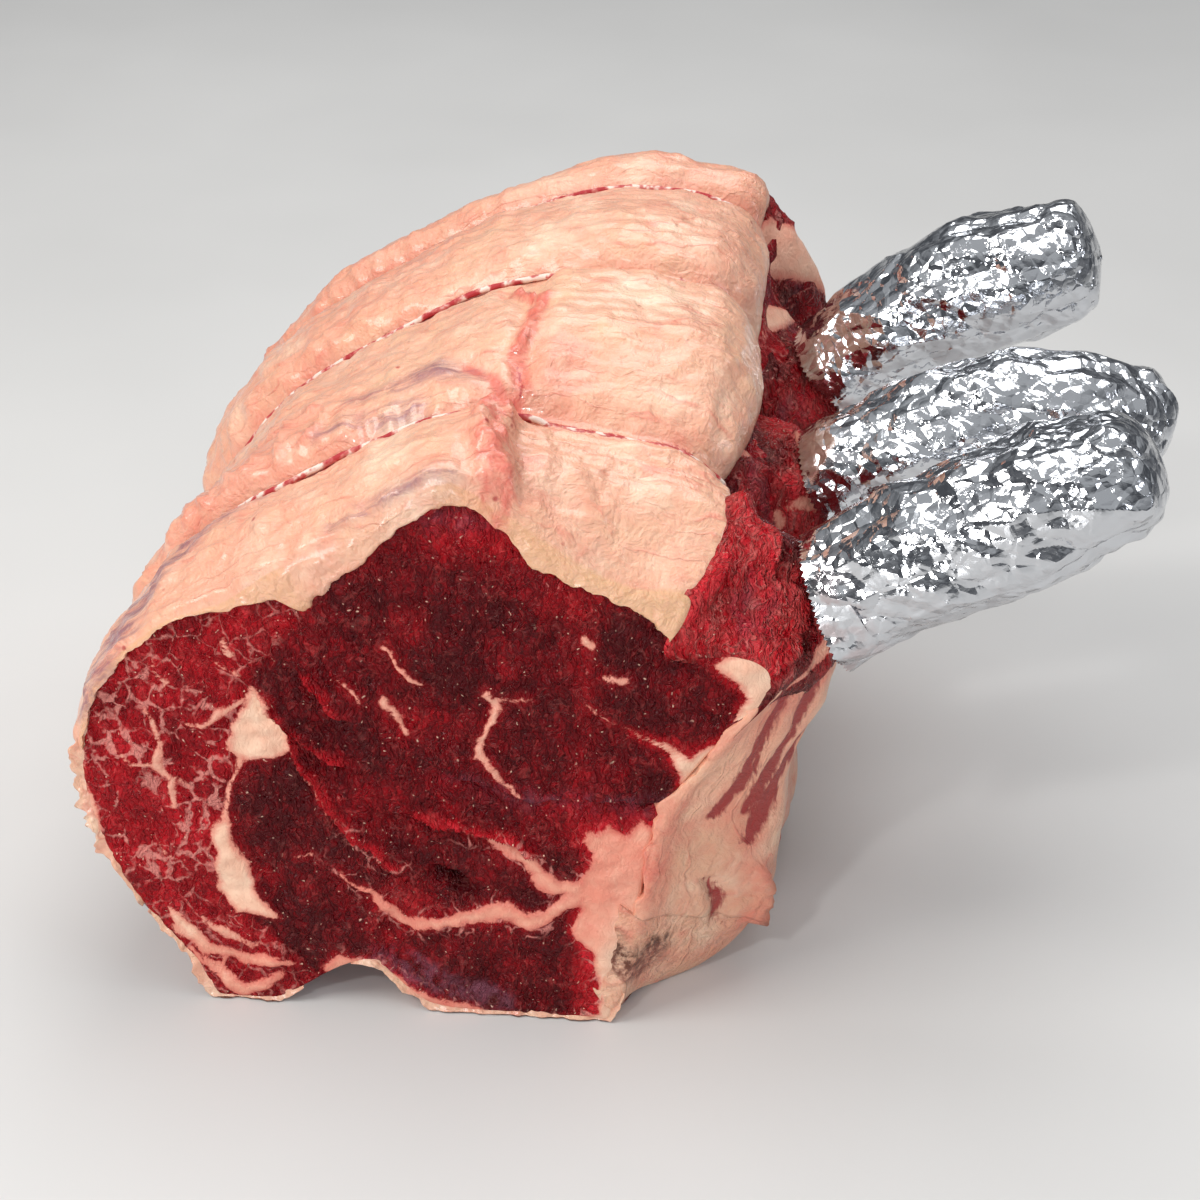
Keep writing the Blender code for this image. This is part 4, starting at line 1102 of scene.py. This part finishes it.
def makeSide(name, slot, node, lowShare, highShare, lowDrop, highDrop, material, columns):
    front, back = roast["front"], roast["back"]
    spine = np.linspace(front + 1.5, back - 1.5, 150)
    facet = np.linspace(0, 1, 9)
    stationList = np.concatenate([np.full(len(facet), front), [front + 0.5], spine, [back - 0.5], np.full(4, back)])
    low, high = along(cutFace["boneLow"], stationList), along(cutFace["boneHigh"], stationList)
    ends = [low + (high - low) * part for part in (lowShare, highShare)]
    share = np.linspace(0, 1, columns)
    degrees = ends[0][:, None] + (ends[1] - ends[0])[:, None] * share[None, :]
    theta = np.radians(degrees)
    skin = skinGrid(stationList, theta)
    thick = along(cutFace["boneThickness"], degrees)
    arc, yy = theta * 85, stationList[:, None] + 0 * theta

    def distanceTo(points):
        return lineDistance(arc, yy, [(math.radians(p[0]) * 85, p[1], p[2]) for p in points])

    spot = placed(yy, theta, skin)
    stripes = np.minimum.reduce([distanceTo(line) for line in sideShape["stripes"]])
    ribWave = np.cos(2 * math.pi * (yy + 79) / 56)
    stripes = np.minimum(stripes, 5 + 7 * layeredNoise(spot * [1, 1, 0.25], 16, 3, 71) + 4 * ribWave + 20 * ease(-76, -84, yy))
    slit = distanceTo(sideShape["slit"])
    lift = 1.2 * layeredNoise(spot, 26, 3, 72) + 0.45 * layeredNoise(spot * [1, 1, 0.5], 7, 3, 73)
    flap = distanceTo(sideShape["flap"])
    lift = lift + (5.0 + 2.0 * layeredNoise(spot, 4, 2, 76)) * np.exp(-(np.maximum(flap, 0) / 1.6) ** 2)
    lift = lift + 1.6 * ribWave * ease(-88, -70, yy) - 1.0 * ease(1.0, -1.0, stripes) - 3.0 * np.exp(-(np.maximum(slit, 0) / 0.9) ** 2)
    standing = ease(2, 12, spot[..., 2])
    outer = skin + lift * ease(0, 8, yy - front) * ease(0, 5, back - yy) * standing
    fromEnd = np.clip(np.stack([share, 1 - share]) * (columns - 1) / 4, 0, 1) ** 0.5
    outer = outer - (1 - fromEnd[0]) * lowDrop - (1 - fromEnd[1]) * highDrop
    y = yy.astype(float).copy()
    radius = outer.copy()
    count = len(facet)
    lipIn = 5.0 + 2.4 * layeredNoise(spot[0], 9, 3, 74)
    if slot == "cut_bone":
        lipIn = 10.0 + 1.5 * layeredNoise(spot[0], 9, 3, 74)
    for i, part in enumerate(facet):
        radius[i] = outer[0] - lipIn + (lipIn - sideShape["corner"]) * part
        y[i] = front + 0.1 + 2.2 * (1 - min(part / 0.2, 1)) ** 2
    turned = np.clip((yy - front) / 5, 0, 1)
    radius[count:] -= (sideShape["corner"] * (1 - np.sqrt(1 - (1 - turned) ** 2)))[count:]
    for i in range(4):
        radius[-1 - i] = outer[-1] - thick[-1] * (1 - (i + 0.5) / 4)
    grid = placed(y, theta, radius)
    innerY = np.linspace(front + 4.0, back - 2.0, len(stationList))[:, None] + 0 * y
    innerSkin = skinGrid(innerY[:, 0], theta)
    inner = placed(innerY, theta, np.minimum(innerSkin - np.maximum(thick * ease(0, 12, innerY - front), lipIn[None, :] * 0.6), radius - 0.6))
    cut = np.maximum(0.5 * ease(6, 0, yy - front), 0.9 * ease(-16, 2, degrees + 6 * noise(spot, 14, 77)))
    if slot == "cut_bone":
        around = np.hypot((spot[..., 0] - 57) / 7, (spot[..., 2] - 17) / 7)
        cut = ease(1.2, 0.8, around + 0.3 * noise(spot, 4, 78)) * ease(13, 8, yy - front)
    blush = 0.3 * ease(0, 0.6, noise(spot, 18, 75)) + 0.6 * np.exp(-((degrees - 15) / 7) ** 2 - ((yy + 98) / 16) ** 2)
    blush = blush + 0.6 * np.exp(-(np.maximum(flap, 0) / 4) ** 2) + 0.3 * np.exp(-(np.maximum(stripes, 0) / 3) ** 2)
    blush = blush + 0.6 * ease(-99, -106, yy + 3 * noise(spot, 7, 79)) * ease(-46, -30, degrees) * ease(6, -4, degrees)
    fields = {"blush": np.clip(blush, 0, 1), "veil": 0 * y, "red": -np.minimum(stripes, slit), "cut": cut}
    piece = slabPiece(name, grid, inner, fields, material)
    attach(piece, "root")
    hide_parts(node)
    return piece


print("rib side and chine")
makeSide("boneSide", "bone_side", "bone_side", 3 / 11, 1.0, 0.2, 2.2, fatMaterial("ribMembrane", sideLook), 96)
makeSide("chineBone", "cut_bone", "chine_bone", 0.0, 3 / 11, 2.2, 0.2, fatMaterial("sawnChine", chineLook), 44)


# thin skin and membrane torn ragged, standing off the edge of the cut: by angle, how far out in mm
frills = {
    "leftSkin": {171: 0.2, 176: 1.4, 181: 3.0, 185: 2.4, 188: 3.8, 191: 3.4, 193: 0.8, 196: 2.4, 199: 0.8, 204: 0.4, 208: 0.2},
    "lipSkin": {209: 0.2, 216: 1.2, 222: 1.8, 228: 1.6, 231: 2.4, 234: 2.2, 236: 1.4, 239: 0.2},
    "footSkin": {245: 0.2, 253: 1.4, 262: 1.0, 269: 1.8, 275: 0.8, 283: 1.8, 290: 1.2, 297: 1.8, 302: 1.2, 307: 0.2},
}
frillShape = {"rows": 9, "step": 0.4, "thick": 0.5, "root": 1.4}


def makeFrill(name, reaches, seed):
    theta = np.radians(np.arange(min(reaches), max(reaches), 0.25))
    skin = skinRadius(roast["front"], theta) - 0.9
    x, z = roast["axis"][0] + skin * np.cos(theta), roast["axis"][1] + skin * np.sin(theta)
    reach = along(reaches, np.degrees(theta))
    run = np.concatenate([[0], np.cumsum(np.hypot(np.diff(x), np.diff(z)))])
    at = np.linspace(0, run[-1], int(run[-1] / frillShape["step"]))
    x, z, reach = (np.interp(at, run, values) for values in (x, z, reach))
    slope = np.stack([np.gradient(x), np.gradient(z)], axis=1)
    slope /= np.linalg.norm(slope, axis=1)[:, None]
    away = np.stack([slope[:, 1], -slope[:, 0]], axis=1)
    centre = np.array(roast["axis"])
    facing = np.sign(((np.stack([x, z], axis=1) - centre) * away).sum(axis=1))
    away *= facing[:, None]
    spot = np.stack([x, 0 * x, z], axis=1)
    ragged = 0.8 + 0.9 * layeredNoise(spot, 6, 3, seed) + 0.4 * noise(spot, 1.7, seed + 1)
    reach = np.maximum(reach * ragged, 0.15)
    share = np.linspace(0, 1, frillShape["rows"])[None, :]
    root = frillShape["root"] * np.minimum(np.minimum(run[-1] - at, at) / 4, 1)[:, None]
    out = -root + (reach[:, None] + root) * share
    gridX = x[:, None] + away[:, :1] * out
    gridZ = np.maximum(z[:, None] + away[:, 1:] * out, 0.5)
    spots = np.stack([gridX, 0 * gridX, gridZ], axis=-1)
    wave = 0.9 * layeredNoise(spots, 7, 2, seed + 2) * share + 0.35 * noise(spots, 2.4, seed + 3)
    gridY = roast["front"] + roast["faceLean"] * gridZ + 1.4 - 0.9 * share + wave
    outer = np.stack([gridX, gridY, gridZ], axis=-1)
    thick = frillShape["thick"] * (1.15 - share)[..., None] * np.ones(3)
    inner = outer + thick * [0, 1, 0] * 1.6
    shade = noise(spots, 6, seed + 4)
    fields = {"blush": np.clip(0.1 + 0.6 * shade, 0, 1), "veil": 0 * shade, "red": 2.2 * shade - 1.9 - 1.5 * share,
              "cut": 0 * shade}
    piece = slabPiece(name, outer, inner, fields, bpy.data.materials["hardBackFat"])
    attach(piece, "root")
    return piece


print("ragged skin")
for order, (name, reaches) in enumerate(frills.items()):
    makeFrill(name, reaches, 111 + 10 * order)


# torn meat between the fat cap and the ribs, round the rib stumps
flank = {
    "columns": 140, "rows": 220, "low": 13.0, "high": 5.0,
    "chunk": [(50, -84), (45, -72), (39, -82), (34, -92), (30, -90), (25, -95), (22, -112), (35, -112), (48, -112)],
    "mounds": ((30, -36, 5, 7, 5.0), (38, -44, 5, 8, 3.0), (36, -16, 6, 9, 3.0), (26, 20, 6, 8, 3.5)),
    "pits": ((36, -72, 5, 8, 11), (33, -57, 7, 7, 9), (30, 4, 8, 7, 7), (28, 62, 9, 8, 5)),   # angle, station, width, length, depth
    "paleSlabs": (
        [(42, 8, 1), (46, 20, 4), (44, 32, 5), (40, 42, 4), (37, 50, 2)],
        [(49, 40, 1), (50, 52, 4), (46, 62, 6), (40, 70, 6), (34, 76, 4)],
    ),
    "pale": ([(17, -100, 0.6), (21, -92, 1.8), (25, -86, 2.6), (28, -82, 1.6)], [(26, -90, 0.2), (29, -87, 1.2), (31, -84, 0.6)], [(31, -38, 1), (28, -34, 2.0), (27, -31, 0.6)],
             [(44, -40, 0.8), (41, -35, 0.9)], [(33, -24, 1.2), (36, -20, 1)]),
}


def makeRibMeat():
    front, back = roast["front"], roast["back"]
    stationList = np.linspace(front + 0.4, back - 0.4, flank["rows"])
    low = along(cutFace["boneHigh"], stationList) - flank["high"]
    high = along(cutFace["fatRight"], stationList) + flank["high"]
    share = np.linspace(0, 1, flank["columns"])
    degrees = low[:, None] + (high - low)[:, None] * share[None, :]
    theta = np.radians(degrees)
    yy = stationList[:, None] + 0 * theta
    skin = skinGrid(stationList, theta)
    spot = placed(yy, theta, skin)
    arc = theta * 95

    def distanceTo(points):
        return lineDistance(arc, yy, [(math.radians(p[0]) * 95, p[1], p[2]) for p in points])

    slabs = np.minimum.reduce([distanceTo(line) for line in flank["paleSlabs"]])
    bits = np.minimum.reduce([distanceTo(line) for line in flank["pale"]])
    lift = 1.8 * layeredNoise(spot, 17, 3, 81) + 1.7 * (ridged(spot * [1, 1, 0.5], 9, 82) - 0.4) + 0.6 * (ridged(spot, 3.6, 83) - 0.4)
    lift = lift * ease(-2, 2, slabs) + (1.2 + 0.5 * layeredNoise(spot, 9, 2, 84)) * ease(2, -2, slabs)
    chunk = patchDistance(arc, yy, [(math.radians(a) * 95, place) for a, place in flank["chunk"]])
    lift = lift + 4.5 * ease(1.0, -2.0, chunk + 0.8 * layeredNoise(spot, 6, 2, 89))
    for angle, station, wide, long, high in flank["mounds"]:
        lift = lift + high * np.exp(-((degrees - angle) / wide) ** 2 - ((yy - station) / long) ** 2)
    for angle, station, wide, long, deep in flank["pits"]:
        lift = lift - deep * np.exp(-((degrees - angle) / wide) ** 4 - ((yy - station) / long) ** 4)
    fatEdge = along(cutFace["fatRight"], stationList)[:, None]
    lift = lift - 2.4 * np.exp(-((degrees - fatEdge) / 3) ** 2)
    boneEdge = along(cutFace["boneHigh"], stationList)[:, None]
    edge = np.minimum(share, 1 - share)[None, :]
    lift = lift * ease(0, 0.06, edge) - 3.0 * ease(0.06, 0, edge) - 2.0 * ease(fatEdge + 1, fatEdge + 4, degrees)
    lift = lift - 2.2 * ease(boneEdge, boneEdge - 3, degrees)
    ends = ease(0, 5, yy - front) * ease(0, 4, back - yy)
    grid = placed(yy, theta, skin + lift * ends - 1.5 * (1 - ends))
    inner = placed(yy * 0.985 - 0.2, theta, skin - 9 + np.minimum(lift, 0) * ends)
    # the tone carries painted light on the raised chunk, the mounds and other lifted parts, and painted shade in the
    # pits
    tone = 0.24 + 0.34 * layeredNoise(spot, 15, 2, 85) + 0.15 * ease(0, 2, lift) + 0.34 * ease(0.5, -2, chunk)
    for angle, station, wide, long, _ in flank["mounds"]:
        tone = tone + 0.3 * np.exp(-((degrees - angle) / wide) ** 2 - ((yy - station) / long) ** 2)
    for angle, station, wide, long, deep in flank["pits"]:
        tone = tone - 1.2 * np.exp(-((degrees - angle) / wide) ** 2 - ((yy - station) / long) ** 2)
    fat = -np.minimum(np.minimum(slabs, bits), 4.2 + 4.5 * layeredNoise(spot * [1, 0.7, 0.4], 8, 3, 86))
    fields = {"fat": fat, "lip": 0.12 + 0 * yy, "tone": tone, "veil": 0.5 * ease(0.2, 0.6, noise(spot, 14, 87)),
              "flush": 0.35 + 0.35 * noise(spot, 20, 88)}
    piece = slabPiece("ribMeat", grid, inner, fields, meatMaterial("tornRibMeat", 1.5, (1.0, 0.8, 0.28), 0.3, 0.5, 0.3))
    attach(piece, "root")
    return piece


print("meat round the rib stumps")
makeRibMeat()


# foil round the rib ends
wrap = {
    "columns": 240, "rows": 170,
    "profile": {0.0: 17.0, 0.2: 18.5, 0.5: 19.5, 0.72: 19.5, 0.86: 17.5, 0.95: 12.5, 1.0: 3.0},
    "flatten": 0.9,
    "toothPitch": 1.5, "toothDepth": 0.8,    # mm, the cutter's serration left on the edge
}


def makeFoil(index, rib, flap):
    base, bend, tip = (np.array(rib[key], float) for key in ("base", "bend", "tip"))
    around = np.linspace(0, 2 * math.pi, wrap["columns"], endpoint=False)
    shares = np.concatenate([np.linspace(0.1, 0.0, 8), np.linspace(0.0, 1.0, wrap["rows"]) ** 0.93])
    length = 85.0
    teeth = np.abs((np.arange(wrap["columns"]) / 4) % 1 - 0.5) * 2 * wrap["toothDepth"]
    hang = np.exp(-((np.angle(np.exp(1j * (around - math.radians(252)))) / 0.6) ** 2)) * flap
    rings, crush, blood = [], [], []
    for i, share in enumerate(shares):
        inside = i < 8
        radius = along(wrap["profile"], share) * rib["girth"]
        if share > 0.86:
            dome = (share - 0.86) / 0.14
            radius = 17.5 * rib["girth"] * math.sqrt(max(1 - dome ** 2.2, 0.02))
        flare = hang * max(1 - share / 0.28, 0) ** 1.5
        turned = radius + flare - (0.5 if inside else 0.0)
        slide = -teeth * max(1 - share / 0.02, 0)
        slide = slide - (1.5 * np.sin(around * 2 + index) + 3.0 * hang / max(flap, 1)) * max(1 - share / 0.08, 0)
        centre = (1 - share) ** 2 * base + 2 * share * (1 - share) * bend + share**2 * tip
        slope = (1 - share) * (bend - base) + share * (tip - bend)
        slope = slope / np.hypot(*slope)
        lift = turned * wrap["flatten"] * np.sin(around)
        x = centre[0] - slope[1] * lift + slope[0] * slide
        y = rib["y"] + rib["turn"] * share + turned * np.cos(around)
        z = centre[1] + slope[0] * lift + slope[1] * slide
        ring = np.stack([x, y, z], axis=1)
        amount = (1.0 if index == 1 else ease(-0.06, 0.14, share)) * (1 + 0.4 * ease(0.7, 0.95, share))
        middle = np.array([centre[0], rib["y"], centre[1]])
        outward = ring - middle
        outward /= np.linalg.norm(outward, axis=1)[:, None]
        spot = ring * [1, 1, 1] + index * 50.0
        busy = ease(-0.1, 0.5, noise(spot, 14, 97))
        folds = 2.4 * crumple(spot * [0.4, 1, 0.7], 19, 91) + 2.6 * crumple(spot * [0.6, 1, 0.9], 10.5, 92)
        folds = folds + 0.8 * busy * crumple(spot, 5.4, 93)
        folds = folds * amount + 0.25 * layeredNoise(spot, 9, 2, 94) + 0.5 * crumple(spot * [0.4, 1, 0.6], 10, 96) * (1 - amount)
        ring = ring + outward * np.clip(folds, -3.2, 3.2)[:, None] * (0.3 if inside else 1.0)
        rings.append(ring)
        crush.append(np.full(len(around), 0.12 + 0.88 * amount / 1.6))
        # pink near the meat end: a little blood and a painted reflection of the meat
        blood.append(np.full(len(around), 0.35 * ease(0.2, 0.0, share)))
    rings = np.array(rings)
    piece = tubePiece(f"foilWrap{index}", rings, {"crush": np.array(crush), "blood": np.array(blood)},
                      bpy.data.materials.get("aluminiumFoil") or foilMaterial("aluminiumFoil"), flat=True)
    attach(piece, "root")
    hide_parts(f"foil_wrap_{index}")
    return piece


print("foil")
for index, rib in enumerate(ribs, 1):
    makeFoil(index, rib, flap=5.5 if index == 1 else 1.5)


# twine, three loops pulled tight
def makeTie(index, station):
    line = tautLoop(station)
    count = len(line)
    slope = np.roll(line, -1, axis=0) - np.roll(line, 1, axis=0)
    slope /= np.linalg.norm(slope, axis=1)[:, None]
    outward = np.stack([slope[:, 1], -slope[:, 0]], axis=1)
    # the twine sinks into the torn meat beside the ribs
    offsets = line - roast["axis"]
    degrees = np.degrees(np.arctan2(offsets[:, 1], offsets[:, 0]))
    right = along(cutFace["fatRight"], station)
    sunk = tieShape["sunk"] * ease(right + 2, right - 4, degrees) * ease(6, 14, degrees)
    place = np.stack([line[:, 0], np.full(count, station), line[:, 1]], axis=1)
    # and the thick slab of fat right of the groove lies over it
    low, high, depth = tieShape["under"][index]
    covered = depth * ease(high, high - 4, degrees) * ease(low, low + 4, degrees)
    stand = tieShape["stand"] + 0.35 * noise(place, 9, 101) - sunk - covered
    centre = line + outward * stand[:, None]
    centre[:, 1] = np.maximum(centre[:, 1], roast["tieRadius"] + 0.3)
    sway = 0.7 * noise(place, 22, 102)
    turn = np.linspace(0, 2 * math.pi, tieShape["sides"], endpoint=False)
    turns = round(count * tieShape["step"] / tieShape["twist"])
    phase = 2 * math.pi * turns * np.arange(count) / count
    lobes = 0.84 + 0.16 * np.abs(np.cos((tieShape["strands"] * turn[None, :] + phase[:, None]) / 2))
    size = roast["tieRadius"] * lobes
    across, beside = size * np.cos(turn)[None, :], size * np.sin(turn)[None, :]
    x = centre[:, 0, None] + outward[:, 0, None] * across
    z = centre[:, 1, None] + outward[:, 1, None] * across
    points = np.stack([x, station + sway[:, None] + beside, z], axis=-1).reshape(-1, 3)
    sides = tieShape["sides"]
    i, j = np.meshgrid(np.arange(count), np.arange(sides), indexing="ij")
    k, m = (i + 1) % count, (j + 1) % sides
    faces = np.stack([i * sides + j, k * sides + j, k * sides + m, i * sides + m], axis=-1).reshape(-1, 4).tolist()
    piece = makeMesh(f"tie{index}", points, faces, {}, bpy.data.materials.get("cottonTwine") or twineMaterial("cottonTwine"))
    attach(piece, "root")
    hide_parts(f"tie_{index}")
    return piece


print("twine")
for index, station in enumerate(roast["ties"], 1):
    makeTie(index, station)


print("done")
